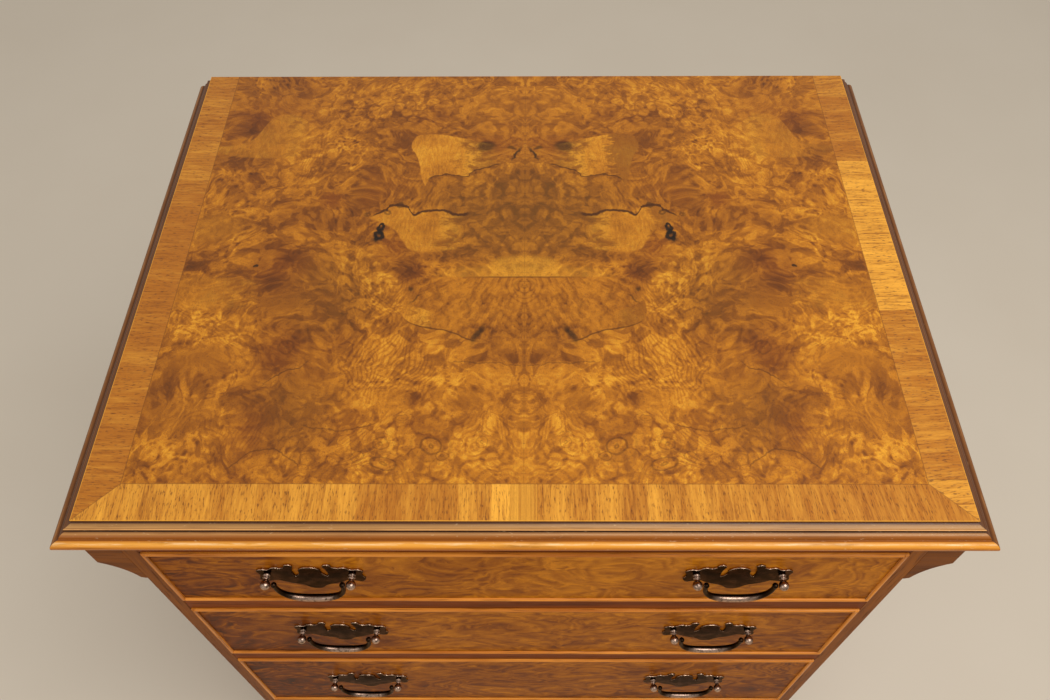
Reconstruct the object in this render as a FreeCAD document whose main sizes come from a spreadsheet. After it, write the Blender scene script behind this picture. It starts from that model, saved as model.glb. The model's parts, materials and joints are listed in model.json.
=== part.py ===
"""Bachelors chest: a small veneered chest of four graduated drawers on bracket feet.

Frame: +Z up, the front faces -Y, and the origin is on the floor at the middle of the chest's box,
handles included. Lengths are millimetres.
"""

import FreeCAD, Part
import math
import os
from types import SimpleNamespace

import Sketcher

# Driving sizes of the chest.
DRIVING = {
    # top: groundwork, veneers and edge moulding
    "side_overhang": 21.5,
    "top_depth": 472.0,
    "top_thickness": 18.5,
    "veneer_thickness": 0.8,
    "band_width": 28.0,
    "moulding_projection": 15.0,
    "moulding_lip": 2.7,
    "cove_fall": 1.5,
    "moulding_shelf": 5.0,
    "moulding_step": 3.0,
    "ovolo_fillet": 1.7,
    "torus_radius": 4.0,
    # case
    "case_width": 577.0,
    "front_overhang": 10.4,
    "back_overhang": 10.0,
    "side_thickness": 11.0,
    "back_thickness": 6.0,
    "back_rebate": 6.0,
    "top_rail_height": 26.0,
    "rail_thickness": 20.5,
    "rail_depth": 55.0,
    "tenon_length": 5.0,
    "tenon_setback": 9.0,
    "bottom_thickness": 22.0,
    "runner_width": 16.0,
    "stop_length": 45.0,
    "stop_depth": 14.0,
    "stop_height": 5.0,
    "stop_margin": 90.0,
    "screw_radius": 1.6,
    "screw_head_radius": 3.2,
    "screw_head_depth": 2.0,
    "screw_length": 20.0,
    "screw_margin": 55.0,
    # drawer openings, from the top drawer down
    "opening_1": 98.0,
    "opening_2": 123.0,
    "opening_3": 150.0,
    "opening_4": 172.0,
    # shaped brackets under the ends of the top
    "bracket_setback": 9.9,
    "bracket_height": 77.0,
    "bracket_straight": 45.5,
    "bracket_toe": 5.0,
    "bracket_toe_rise": 2.0,
    "bracket_thickness": 18.0,
    "bracket_rear_inset": 30.0,
    # base
    "foot_height": 90.0,
    "foot_length": 120.0,
    "foot_pad": 62.0,
    "foot_apron": 22.0,
    "foot_heel": 8.0,
    "foot_nose_length": 14.0,
    "foot_nose_rise": 9.0,
    "foot_thickness": 18.0,
    "foot_projection": 6.0,
    "foot_block": 34.0,
    "foot_block_lift": 4.0,
    "base_height": 18.0,
    "base_projection": 9.0,
    "base_lip": 5.0,
    "base_fillet": 1.5,
    # drawers
    "drawer_gap": 0.8,
    "front_gap": 1.0,
    "drawer_lift": 0.3,
    "stop_clearance": 0.3,
    "front_thickness": 19.0,
    "drawer_side_thickness": 10.0,
    "drawer_side_drop": 6.0,
    "drawer_back_thickness": 10.0,
    "drawer_rear_room": 14.0,
    "drawer_bottom_thickness": 5.0,
    "bottom_groove": 5.0,
    "bottom_lift": 9.0,
    "lap": 2.0,
    "tail_slope": 2.2,
    "tail_neck": 15.0,
    "bead_thickness": 3.5,
    "bead_projection": 2.0,
    "bead_inset": 7.0,
    # handles
    "handle_offset": 161.0,
    "handle_rise": 13.5,
    "post_spacing": 64.0,
    "plate_margin": 8.0,
    "plate_height": 46.5,
    "plate_thickness": 1.5,
    "ball_radius": 3.8,
    "ball_reach": 11.0,
    "boss_radius": 3.0,
    "boss_length": 3.4,
    "boss_edge": 0.5,
    "collar_length": 1.0,
    "neck_radius": 1.8,
    "shank_radius": 2.0,
    "shank_clearance": 0.1,
    "nut_radius": 4.5,
    "nut_thickness": 3.5,
    "shank_end": 1.5,
    "pin_radius": 1.2,
    "pin_clearance": 0.05,
    "pin_depth": 2.4,
    "knuckle_radius": 2.3,
    "knuckle_gap": 0.3,
    "bail_drop": 27.0,
    "bail_end_radius": 1.8,
    "bail_middle_radius": 3.0,
}

SCREWS_PER_EDGE = 5
BAIL_SECTIONS = 15
BAIL_FULLNESS = 2.6
BAIL_END_SHARE = 0.012
BALL_NECK_ANGLE = math.radians(28)

doc = FreeCAD.newDocument("bachelors_chest")
sheet = doc.addObject("Spreadsheet::Sheet", "Sizes")


class Size:
    """A length that holds its number and the formula that ties it to the sheet."""

    def __init__(self, number, formula):
        self.number = number
        self.formula = formula

    @staticmethod
    def of(value):
        """Take a plain number as a size of its own."""
        if isinstance(value, Size):
            return value
        return Size(float(value), repr(float(value)))

    def joined(self, sign, other, number):
        """Make the formula of two sizes with a sign between them."""
        return Size(number, f"({self.formula} {sign} {other.formula})")

    def __add__(self, other):
        other = Size.of(other)
        return self.joined("+", other, self.number + other.number)

    def __sub__(self, other):
        other = Size.of(other)
        return self.joined("-", other, self.number - other.number)

    def __mul__(self, other):
        other = Size.of(other)
        return self.joined("*", other, self.number * other.number)

    def __truediv__(self, other):
        other = Size.of(other)
        return self.joined("/", other, self.number / other.number)

    def __rsub__(self, other):
        return Size.of(other) - self

    def __neg__(self):
        return Size(-self.number, f"(-1 * {self.formula})")

    __radd__ = __add__
    __rmul__ = __mul__


s = SimpleNamespace()
for row, (alias, number) in enumerate(DRIVING.items(), start=1):
    sheet.set(f"A{row}", alias)
    sheet.set(f"B{row}", str(number))
    sheet.setAlias(f"B{row}", alias)
    setattr(s, alias, Size(number, f"Sizes.{alias}"))
doc.recompute()

ZERO = Size.of(0)

# Planes that several pieces share.
front_step = s.moulding_projection - s.front_overhang
handle_reach = s.ball_reach + s.ball_radius
back = (s.top_depth + front_step + handle_reach) / 2
veneer_front = back - s.top_depth
case_front = veneer_front - front_step
case_back = back - s.back_overhang
panel_front = case_back - s.back_thickness
case_half = s.case_width / 2
inside_half = case_half - s.side_thickness
top_width = s.case_width + s.side_overhang * 2
top_half = top_width / 2
board_top = s.foot_height + s.bottom_thickness

opening_height = {1: s.opening_1, 2: s.opening_2, 3: s.opening_3, 4: s.opening_4}
opening_floor = {4: board_top}
for level in (3, 2, 1):
    opening_floor[level] = opening_floor[level + 1] + opening_height[level + 1] + s.rail_thickness
case_top = opening_floor[1] + s.opening_1 + s.top_rail_height
case_height = case_top - s.foot_height
top_surface = case_top + s.top_thickness

nodes = []


def tie(item, path, size):
    """Bind one property of a document object to a size."""
    item.setExpression(path, Size.of(size).formula)


def place(item, x=0, y=0, z=0):
    """Bind the position of a document object."""
    for axis, size in zip("xyz", (x, y, z)):
        tie(item, f"Placement.Base.{axis}", size)


def keep(item):
    """List a document object as a piece of the chest."""
    nodes.append(item)
    return item


def board(label, corner, extent):
    """Make a rectangular board from its lowest corner and its three sizes."""
    item = doc.addObject("Part::Box", label)
    place(item, *corner)
    for path, size in zip(("Length", "Width", "Height"), extent):
        tie(item, path, size)
    return item


def rod(label, centre, radius, length, turn):
    """Make a round rod that starts at a point, turned from +Z by a rotation."""
    item = doc.addObject("Part::Cylinder", label)
    item.Placement.Rotation = turn
    place(item, *centre)
    tie(item, "Radius", radius)
    tie(item, "Height", length)
    return item


def group(label, members):
    """Hold several solids together as one piece."""
    item = doc.addObject("Part::Compound", label)
    item.Links = members
    return item


def joined(label, members):
    """Join touching solids into one."""
    item = doc.addObject("Part::MultiFuse", label)
    item.Shapes = members
    item.Refine = True
    return item


def cut(label, base, tools):
    """Cut one or more solids out of a piece."""
    item = doc.addObject("Part::Cut", label)
    item.Base = base
    item.Tool = tools[0] if len(tools) == 1 else group(label + "_cuts", tools)
    return item


def overlap(label, base, tool):
    """Keep what two solids have in common."""
    item = doc.addObject("Part::Common", label)
    item.Base = base
    item.Tool = tool
    return item


def mirrored(label, source, normal=(1, 0, 0), through=None):
    """Mirror a piece, in the middle plane of the chest unless a height is given."""
    item = doc.addObject("Part::Mirroring", label)
    item.Source = source
    item.Normal = FreeCAD.Vector(*normal)
    if through is not None:
        tie(item, "Base.z", through)
    return item


def origin_plane(body, role):
    """Find one of a body's own base planes."""
    for feature in body.Origin.OriginFeatures:
        if feature.Role == role:
            return feature
    raise ValueError(role)


def sketch_outline(body, plane, stations):
    """Draw a closed outline whose points are bound to sizes.

    A station is (across, up) for a straight side to the next station, or
    (across, up, via_across, via_up) for an arc that passes through the second point.
    """
    sketch = body.newObject("Sketcher::SketchObject", body.Label + "_outline")
    sketch.AttachmentSupport = [(origin_plane(body, plane), "")]
    sketch.MapMode = "FlatFace"
    points = [tuple(Size.of(value) for value in station) for station in stations]
    vectors = [
        [FreeCAD.Vector(p[k].number, p[k + 1].number, 0) for k in range(0, len(p), 2)] for p in points
    ]
    count = len(points)
    for i in range(count):
        start = vectors[i][0]
        end = vectors[(i + 1) % count][0]
        if len(vectors[i]) == 2:
            sketch.addGeometry(anticlockwise_arc(start, vectors[i][1], end))
        else:
            sketch.addGeometry(Part.LineSegment(start, end))
    ends = [arc_ends(sketch, i, vectors[i][0]) for i in range(count)]
    for i in range(count):
        follower = (i + 1) % count
        sketch.addConstraint(Sketcher.Constraint("Coincident", i, ends[i][1], follower, ends[follower][0]))
    for i in range(count):
        fix_point(sketch, i, ends[i][0], points[i][0], points[i][1])
        if len(points[i]) == 4:
            via = sketch.addGeometry(Part.Point(vectors[i][1]), True)
            fix_point(sketch, via, 1, points[i][2], points[i][3])
            sketch.addConstraint(Sketcher.Constraint("PointOnObject", via, 1, i))
    return sketch


def anticlockwise_arc(start, via, end):
    """Make an arc through three points, run the way that a sketch keeps its arcs."""
    turns_left = (via - start).cross(end - via).z > 0
    return Part.Arc(start, via, end) if turns_left else Part.Arc(end, via, start)


def arc_ends(sketch, index, start):
    """Tell which end of a sketch edge lies at its start point."""
    edge = sketch.Geometry[index]
    return (1, 2) if edge.StartPoint.distanceToPoint(start) < 1e-6 else (2, 1)


def fix_point(sketch, index, end, across, up):
    """Bind both coordinates of a point of a sketch."""
    for kind, size in (("DistanceX", across), ("DistanceY", up)):
        number = sketch.addConstraint(Sketcher.Constraint(kind, -1, 1, index, end, size.number))
        tie(sketch, f"Constraints[{number}]", size)


def pad(label, plane, stations, length, x=0, y=0, z=0):
    """Make a piece by drawing an outline on a base plane and padding it along the plane's normal."""
    body = doc.addObject("PartDesign::Body", label)
    sketch = sketch_outline(body, plane, stations)
    feature = body.newObject("PartDesign::Pad", label + "_pad")
    feature.Profile = sketch
    tie(feature, "Length", length)
    place(body, x, y, z)
    return body


def make_top():
    """Make the groundwork, its veneers and the edge moulding on three sides."""
    ground = s.top_thickness - s.veneer_thickness
    keep(board("top_panel", (-top_half, veneer_front, case_top), (top_width, s.top_depth, ground)))

    veneer_floor = case_top + ground
    leaf_width = top_half - s.band_width
    leaf_depth = s.top_depth - s.band_width
    leaf_extent = (leaf_width, leaf_depth, s.veneer_thickness)
    leaf_front = veneer_front + s.band_width
    left_leaf = board("burr_leaf_left", (-leaf_width, leaf_front, veneer_floor), leaf_extent)
    right_leaf = board("burr_leaf_right", (ZERO, leaf_front, veneer_floor), leaf_extent)
    keep(group("top_burr_veneer", [left_leaf, right_leaf]))

    front_band = [(-top_half, 0), (top_half, 0), (leaf_width, s.band_width), (-leaf_width, s.band_width)]
    side_band = [
        (-top_half, 0),
        (-leaf_width, s.band_width),
        (-leaf_width, s.top_depth),
        (-top_half, s.top_depth),
    ]
    at_front = {"y": veneer_front, "z": veneer_floor}
    front_strip = pad("crossband_front", "XY_Plane", front_band, s.veneer_thickness, **at_front)
    left_strip = pad("crossband_left", "XY_Plane", side_band, s.veneer_thickness, **at_front)
    keep(group("top_crossbands", [front_strip, left_strip, mirrored("crossband_right", left_strip)]))

    outer_half = top_half + s.moulding_projection
    mitre = [
        (-top_half, 0),
        (-outer_half, -s.moulding_projection),
        (outer_half, -s.moulding_projection),
        (top_half, 0),
    ]
    length = outer_half * 2
    section = moulding_section()
    run = pad("moulding_front_run", "YZ_Plane", section, length, -outer_half, veneer_front, top_surface)
    plan = pad("moulding_front_plan", "XY_Plane", mitre, s.top_thickness, 0, veneer_front, case_top)
    keep(overlap("top_moulding_front", run, plan))

    side_mitre = [
        (-top_half, 0),
        (-top_half, s.top_depth),
        (-outer_half, s.top_depth),
        (-outer_half, -s.moulding_projection),
    ]
    side_length = s.top_depth + s.moulding_projection
    side_run = pad("moulding_side_run", "XZ_Plane", section, side_length, -top_half, back, top_surface)
    side_plan = pad("moulding_side_plan", "XY_Plane", side_mitre, s.top_thickness, 0, veneer_front, case_top)
    left = keep(overlap("top_moulding_left", side_run, side_plan))
    keep(mirrored("top_moulding_right", left))


def moulding_section():
    """List the section of the top's edge moulding, outwards along -across from the veneer's edge.

    A lip below the veneer falls in a shallow cove to a shelf, and an ovolo and a torus finish the edge.
    """
    shelf = s.moulding_lip + s.cove_fall
    step = shelf + s.moulding_step
    torus_centre = s.moulding_projection - s.torus_radius
    torus_height = s.top_thickness - s.torus_radius
    neck = torus_height - s.torus_radius
    ovolo_end = torus_centre - s.ovolo_fillet
    ovolo_width = ovolo_end - s.moulding_shelf
    ovolo_height = neck - step
    return [
        (0, 0),
        (0, -s.moulding_lip, -s.moulding_shelf * 0.45, -s.moulding_lip - s.cove_fall * 0.73),
        (-s.moulding_shelf, -shelf),
        (-s.moulding_shelf, -step, -s.moulding_shelf - ovolo_width * 0.7, -step - ovolo_height * 0.3),
        (-ovolo_end, -neck),
        (-torus_centre, -neck, -s.moulding_projection, -torus_height),
        (-torus_centre, -s.top_thickness),
        (0, -s.top_thickness),
    ]


def make_case():
    """Make the sides, rails, boards and the fixed pieces that the drawers run on."""
    screws = make_screws()
    front_rails = []
    mortises = []
    for level in (1, 2, 3):
        floor = opening_floor[level] - s.rail_thickness
        front_rails.append(make_rail(f"drawer_rail_{level}", floor, s.rail_thickness))
        mortises.append(make_mortise(f"rail_mortise_{level}", floor, s.rail_thickness))
    top_rail_floor = case_top - s.top_rail_height
    front_rails.append(make_rail("top_front_rail", top_rail_floor, s.top_rail_height))
    mortises.append(make_mortise("top_rail_mortise", top_rail_floor, s.top_rail_height))
    for rail in front_rails:
        keep(rail)

    depth = case_back - case_front
    side_extent = (s.side_thickness, depth, case_height)
    side = board("side_board", (-case_half, case_front, s.foot_height), side_extent)
    rebate_corner = (-inside_half - s.back_rebate, panel_front, s.foot_height)
    rebate = board("back_rebate", rebate_corner, (s.back_rebate, s.back_thickness, case_height))
    shaped_side = cut("side_shaped", side, [rebate] + mortises)
    left = keep(cut("side_left", shaped_side, [screws]))
    keep(mirrored("side_right", left))

    back_half = inside_half + s.back_rebate
    panel_extent = (back_half * 2, s.back_thickness, case_height)
    panel = board("back_board", (-back_half, panel_front, s.foot_height), panel_extent)
    keep(cut("back_panel", panel, [screws]))
    keep(screws)

    inside_width = inside_half * 2
    inside_depth = panel_front - case_front
    bottom = board(
        "bottom_board",
        (-inside_half, case_front, s.foot_height),
        (inside_width, inside_depth, s.bottom_thickness),
    )
    keep(bottom)
    keep(
        board(
            "top_back_rail",
            (-inside_half, panel_front - s.rail_depth, top_rail_floor),
            (inside_width, s.rail_depth, s.top_rail_height),
        )
    )
    make_runners(top_rail_floor)
    make_stops()


def make_rail(label, floor, height):
    """Make a front rail with a stub tenon at each end, set back from the face of the case."""
    tenon_half = inside_half + s.tenon_length
    tenon_end = s.rail_depth - s.tenon_setback
    plan = [
        (-inside_half, 0),
        (inside_half, 0),
        (inside_half, s.tenon_setback),
        (tenon_half, s.tenon_setback),
        (tenon_half, tenon_end),
        (inside_half, tenon_end),
        (inside_half, s.rail_depth),
        (-inside_half, s.rail_depth),
        (-inside_half, tenon_end),
        (-tenon_half, tenon_end),
        (-tenon_half, s.tenon_setback),
        (-inside_half, s.tenon_setback),
    ]
    return pad(label, "XY_Plane", plan, height, 0, case_front, floor)


def make_mortise(label, floor, height):
    """Make the hollow in the left side that a rail's tenon fills."""
    corner = (-inside_half - s.tenon_length, case_front + s.tenon_setback, floor)
    return board(label, corner, (s.tenon_length, s.rail_depth - s.tenon_setback * 2, height))


def make_screws():
    """Make the countersunk screws that hold the back panel to the sides."""
    members = []
    across = inside_half + s.back_rebate / 2
    pitch = (case_height - s.screw_margin * 2) / (SCREWS_PER_EDGE - 1)
    into_case = FreeCAD.Rotation(FreeCAD.Vector(1, 0, 0), 90)
    for sign, hand in ((-1, "left"), (1, "right")):
        for i in range(SCREWS_PER_EDGE):
            height = s.foot_height + s.screw_margin + pitch * i
            name = f"back_screw_{hand}_{i + 1}"
            tip = (across * sign, case_back, height)
            shank = rod(name + "_shank", tip, s.screw_radius, s.screw_length, into_case)
            head = doc.addObject("Part::Cone", name + "_head")
            head.Placement.Rotation = into_case
            place(head, *tip)
            tie(head, "Radius1", s.screw_head_radius)
            tie(head, "Radius2", s.screw_radius)
            tie(head, "Height", s.screw_head_depth)
            members.append(joined(name, [shank, head]))
    return group("back_panel_screws", members)


def make_runners(top_rail_floor):
    """Make the runners behind the rails and the kickers over the top drawer."""
    start = case_front + s.rail_depth
    members = []
    for level in (1, 2, 3):
        corner = (-inside_half, start, opening_floor[level] - s.rail_thickness)
        extent = (s.runner_width, panel_front - start, s.rail_thickness)
        left = board(f"runner_left_{level}", corner, extent)
        members += [left, mirrored(f"runner_right_{level}", left)]
    keep(group("drawer_runners", members))

    extent = (s.runner_width, panel_front - start - s.rail_depth, s.top_rail_height)
    kicker = board("kicker_left", (-inside_half, start, top_rail_floor), extent)
    keep(group("top_kickers", [kicker, mirrored("kicker_right", kicker)]))


def make_stops():
    """Make the small blocks that the drawer fronts close against."""
    members = []
    for level in opening_height:
        corner = (
            -inside_half + s.stop_margin,
            case_front + s.front_thickness + s.stop_clearance,
            opening_floor[level],
        )
        left = board(f"stop_left_{level}", corner, (s.stop_length, s.stop_depth, s.stop_height))
        members += [left, mirrored(f"stop_right_{level}", left)]
    keep(group("drawer_stops", members))


def make_brackets():
    """Make the shaped brackets that carry the ends of the top."""
    outer = top_half + s.moulding_projection - s.bracket_setback
    width = outer - case_half
    toe = case_half + s.bracket_toe
    curve_height = s.bracket_height - s.bracket_straight
    stations = [
        (-case_half, 0),
        (-outer, 0),
        (-outer, -s.bracket_straight, -toe - width * 0.3, -s.bracket_straight - curve_height * 0.4),
        (-toe, -s.bracket_height + s.bracket_toe_rise),
        (-case_half, -s.bracket_height),
    ]
    rear_faces = {
        "front": case_front + s.bracket_thickness,
        "rear": case_back - s.bracket_rear_inset,
    }
    members = []
    for end, rear_face in rear_faces.items():
        left = pad(f"bracket_{end}_left", "XZ_Plane", stations, s.bracket_thickness, 0, rear_face, case_top)
        members += [left, mirrored(f"bracket_{end}_right", left)]
    keep(group("top_brackets", members))


def make_base():
    """Make the base moulding and the bracket feet with their corner blocks."""
    outer_half = case_half + s.base_projection
    base_depth = case_back - case_front
    section = [
        (0, 0),
        (-s.base_projection, 0),
        (-s.base_projection, s.base_lip),
        (-s.base_projection + s.base_fillet, s.base_lip, -s.base_projection * 0.35, s.base_height * 0.5),
        (-s.base_fillet, s.base_height - s.base_fillet),
        (-s.base_fillet, s.base_height),
        (0, s.base_height),
    ]
    mitre = [
        (-case_half, 0),
        (-outer_half, -s.base_projection),
        (outer_half, -s.base_projection),
        (case_half, 0),
    ]
    run = pad("base_front_run", "YZ_Plane", section, outer_half * 2, -outer_half, case_front, s.foot_height)
    plan = pad("base_front_plan", "XY_Plane", mitre, s.base_height, 0, case_front, s.foot_height)
    front = overlap("base_moulding_front", run, plan)

    side_mitre = [
        (-case_half, 0),
        (-case_half, base_depth),
        (-outer_half, base_depth),
        (-outer_half, -s.base_projection),
    ]
    side_length = base_depth + s.base_projection
    side_run = pad("base_side_run", "XZ_Plane", section, side_length, -case_half, case_back, s.foot_height)
    side_plan = pad("base_side_plan", "XY_Plane", side_mitre, s.base_height, 0, case_front, s.foot_height)
    left = overlap("base_moulding_left", side_run, side_plan)
    keep(group("base_moulding", [front, left, mirrored("base_moulding_right", left)]))
    make_feet()


def foot_outline(direction):
    """List the outline of a bracket foot's facing, from its corner inwards along a direction."""
    knee = s.foot_height - s.foot_apron
    nose = s.foot_length - s.foot_nose_length
    sweep_width = nose - s.foot_pad
    sweep_height = knee - s.foot_heel
    sweep = ((s.foot_pad + sweep_width * 0.2) * direction, s.foot_heel + sweep_height * 0.64)
    turn = ((nose + s.foot_nose_length * 0.72) * direction, knee + s.foot_nose_rise * 0.22)
    return [
        (0, 0),
        (s.foot_pad * direction, 0),
        (s.foot_pad * direction, s.foot_heel, *sweep),
        (nose * direction, knee, *turn),
        (s.foot_length * direction, knee + s.foot_nose_rise),
        (s.foot_length * direction, s.foot_height),
        (0, s.foot_height),
    ]


def make_feet():
    """Make four bracket feet: two mitred facings at the front, a facing and a return at the rear."""
    corner_x = -case_half - s.foot_projection
    corner_y = case_front - s.foot_projection
    inner_x = corner_x + s.foot_thickness
    inner_y = corner_y + s.foot_thickness

    front_board = pad("foot_front_board", "XZ_Plane", foot_outline(1), s.foot_thickness, corner_x, inner_y, 0)
    front_plan = [
        (corner_x, corner_y),
        (corner_x + s.foot_length, corner_y),
        (corner_x + s.foot_length, inner_y),
        (inner_x, inner_y),
    ]
    front_cut = pad("foot_front_plan", "XY_Plane", front_plan, s.foot_height)
    front_facing = overlap("foot_front_facing", front_board, front_cut)

    side_board = pad("foot_side_board", "YZ_Plane", foot_outline(1), s.foot_thickness, corner_x, corner_y, 0)
    side_plan = [
        (corner_x, corner_y),
        (inner_x, inner_y),
        (inner_x, corner_y + s.foot_length),
        (corner_x, corner_y + s.foot_length),
    ]
    side_cut = pad("foot_side_plan", "XY_Plane", side_plan, s.foot_height)
    side_facing = overlap("foot_side_facing", side_board, side_cut)
    front_pieces = [front_facing, side_facing]
    front_pieces += [mirrored(piece.Label + "_right", piece) for piece in front_pieces]
    keep(group("front_feet", front_pieces))

    rear_outline = foot_outline(-1)
    rear_facing = pad("foot_rear_facing", "YZ_Plane", rear_outline, s.foot_thickness, corner_x, case_back, 0)
    rear_return = board(
        "foot_rear_return",
        (inner_x, case_back - s.foot_thickness, ZERO),
        (s.foot_pad - s.foot_thickness, s.foot_thickness, s.foot_height),
    )
    rear_pieces = [rear_facing, rear_return]
    rear_pieces += [mirrored(piece.Label + "_right", piece) for piece in rear_pieces]
    keep(group("rear_feet", rear_pieces))

    block_extent = (s.foot_block, s.foot_block, s.foot_height - s.foot_block_lift)
    front_block = board("foot_block_front", (inner_x, inner_y, s.foot_block_lift), block_extent)
    rear_corner = (inner_x, case_back - s.foot_thickness - s.foot_block, s.foot_block_lift)
    rear_block = board("foot_block_rear", rear_corner, block_extent)
    blocks = [front_block, rear_block]
    blocks += [mirrored(block.Label + "_right", block) for block in blocks]
    keep(group("foot_blocks", blocks))


def make_drawer(level):
    """Make one drawer with its beads, its box and its two handles."""
    name = f"drawer_{level}"
    front_half = inside_half - s.drawer_gap
    front_floor = opening_floor[level] + s.front_gap
    front_height = opening_height[level] - s.front_gap * 2
    post_height = front_floor + front_height / 2 + s.handle_rise
    front_back = case_front + s.front_thickness
    box_floor = opening_floor[level] + s.drawer_lift
    box_height = opening_height[level] - s.drawer_lift - s.drawer_side_drop
    box_back = panel_front - s.drawer_rear_room
    bottom_floor = box_floor + s.bottom_lift
    inner_half = front_half - s.drawer_side_thickness
    groove_half = inner_half + s.bottom_groove

    bottom = board(
        f"{name}_bottom",
        (-groove_half, front_back - s.bottom_groove, bottom_floor),
        (groove_half * 2, box_back - front_back + s.bottom_groove, s.drawer_bottom_thickness),
    )
    tails = make_tails(name, level, front_half, front_back, box_floor, box_height)

    face_extent = (front_half * 2, s.front_thickness, front_height)
    face = board(f"{name}_face", (-front_half, case_front, front_floor), face_extent)
    rebates = bead_rebates(name, front_half, front_floor, front_height)
    holes = handle_holes(name, post_height)
    right_tails = [mirrored(tail.Label + "_right", tail) for tail in tails]
    keep(cut(f"{name}_front", face, rebates + [bottom] + tails + right_tails + holes))
    keep(bottom)
    make_beads(name, front_half, front_floor, front_height)

    blank = board(
        f"{name}_side_blank",
        (-front_half, front_back, box_floor),
        (s.drawer_side_thickness, box_back - front_back, box_height),
    )
    back_floor = bottom_floor + s.drawer_bottom_thickness
    back_half = inner_half + s.bottom_groove
    back_board = board(
        f"{name}_back",
        (-back_half, box_back - s.drawer_back_thickness - s.drawer_side_thickness, back_floor),
        (back_half * 2, s.drawer_back_thickness, box_floor + box_height - back_floor - s.drawer_side_drop),
    )
    left_side = cut(f"{name}_side_left", joined(f"{name}_side_tailed", [blank] + tails), [bottom, back_board])
    keep(group(f"{name}_sides", [left_side, mirrored(f"{name}_side_right", left_side)]))
    keep(back_board)
    make_handles(name, post_height, front_back)


def make_tails(name, level, front_half, front_back, box_floor, box_height):
    """Make the dovetail tails at the front end of a drawer's left side."""
    count = 3 if level > 2 else 2
    pitch = box_height / count
    depth = s.front_thickness - s.bead_inset - s.lap
    tails = []
    for i in range(count):
        low = box_floor + pitch * (i + 0.5) - s.tail_neck / 2
        tail = doc.addObject("Part::Wedge", f"{name}_tail_{i + 1}")
        place(tail, -front_half, front_back - depth, low)
        extents = {
            "Xmin": ZERO,
            "Ymin": ZERO,
            "Zmin": -s.tail_slope,
            "Z2min": ZERO,
            "X2min": ZERO,
            "Xmax": s.drawer_side_thickness,
            "Ymax": depth,
            "Zmax": s.tail_neck + s.tail_slope,
            "Z2max": s.tail_neck,
            "X2max": s.drawer_side_thickness,
        }
        for path, size in extents.items():
            tie(tail, path, size)
        tails.append(tail)
    return tails


def bead_rebates(name, half, floor, height):
    """Make the four shallow cuts round a drawer front that the beads are let into."""
    top = floor + height - s.bead_thickness
    sill = floor + s.bead_thickness
    level_extent = (half * 2, s.bead_inset, s.bead_thickness)
    upright_extent = (s.bead_thickness, s.bead_inset, height - s.bead_thickness * 2)
    return [
        board(f"{name}_rebate_bottom", (-half, case_front, floor), level_extent),
        board(f"{name}_rebate_top", (-half, case_front, top), level_extent),
        board(f"{name}_rebate_left", (-half, case_front, sill), upright_extent),
        board(f"{name}_rebate_right", (half - s.bead_thickness, case_front, sill), upright_extent),
    ]


def make_beads(name, half, floor, height):
    """Make the four round-nosed cock beads of a drawer, mitred at the corners."""
    nose = s.bead_projection - s.bead_thickness / 2
    section = [
        (s.bead_inset, 0),
        (s.bead_inset, s.bead_thickness),
        (-nose, s.bead_thickness, -s.bead_projection, s.bead_thickness / 2),
        (-nose, 0),
    ]
    depth = s.bead_inset + s.bead_projection
    inner = half - s.bead_thickness
    rear = case_front + s.bead_inset
    level_plan = [(-half, 0), (half, 0), (inner, s.bead_thickness), (-inner, s.bead_thickness)]
    level_run = pad(f"{name}_bead_run", "YZ_Plane", section, half * 2, -half, case_front, floor)
    level_cut = pad(f"{name}_bead_mitre", "XZ_Plane", level_plan, depth, 0, rear, floor)
    bottom = overlap(f"{name}_bead_bottom", level_run, level_cut)
    top = mirrored(f"{name}_bead_top", bottom, (0, 0, 1), floor + height / 2)

    upright = [
        (0, s.bead_inset),
        (0, -nose, s.bead_thickness / 2, -s.bead_projection),
        (s.bead_thickness, -nose),
        (s.bead_thickness, s.bead_inset),
    ]
    upright_plan = [
        (-half, 0),
        (-inner, s.bead_thickness),
        (-inner, height - s.bead_thickness),
        (-half, height),
    ]
    upright_run = pad(f"{name}_bead_upright_run", "XY_Plane", upright, height, -half, case_front, floor)
    upright_cut = pad(f"{name}_bead_upright_mitre", "XZ_Plane", upright_plan, depth, 0, rear, floor)
    left = overlap(f"{name}_bead_left", upright_run, upright_cut)
    keep(group(f"{name}_cock_beads", [bottom, top, left, mirrored(f"{name}_bead_right", left)]))


def post_places():
    """List each post's hand, sideways place and inward direction."""
    half = s.post_spacing / 2
    places = []
    for sign, hand in ((-1, "left"), (1, "right")):
        middle = s.handle_offset * sign
        places.append((f"{hand}_a", middle - half, 1))
        places.append((f"{hand}_b", middle + half, -1))
    return places


def handle_holes(name, height):
    """Make the holes for the shanks of a drawer's four posts."""
    inwards = FreeCAD.Rotation(FreeCAD.Vector(1, 0, 0), -90)
    radius = s.shank_radius + s.shank_clearance
    return [
        rod(f"{name}_hole_{key}", (across, case_front, height), radius, s.front_thickness, inwards)
        for key, across, _ in post_places()
    ]


def make_handles(name, height, front_back):
    """Make the posts, plates, nuts and bails of a drawer's two handles."""
    posts = []
    for key, across, inward in post_places():
        posts.append(make_post(f"{name}_post_{key}", across, height, inward))
        posts.append(make_nut(f"{name}_nut_{key}", across, height, front_back))
    keep(group(f"{name}_handle_posts", posts))

    plate_shape = batwing_plate()
    bail_shape = swan_neck_bail()
    plates = []
    for sign, hand in ((-1, "left"), (1, "right")):
        across = s.handle_offset * sign
        plate = doc.addObject("Part::Feature", f"{name}_plate_{hand}")
        plate.Shape = plate_shape
        place(plate, across, case_front, height)
        plates.append(plate)
        bail = doc.addObject("Part::Feature", f"{name}_bail_{hand}")
        bail.Shape = bail_shape
        place(bail, across, case_front - s.ball_reach, height)
        keep(bail)
    keep(group(f"{name}_handle_plates", plates))


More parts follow.
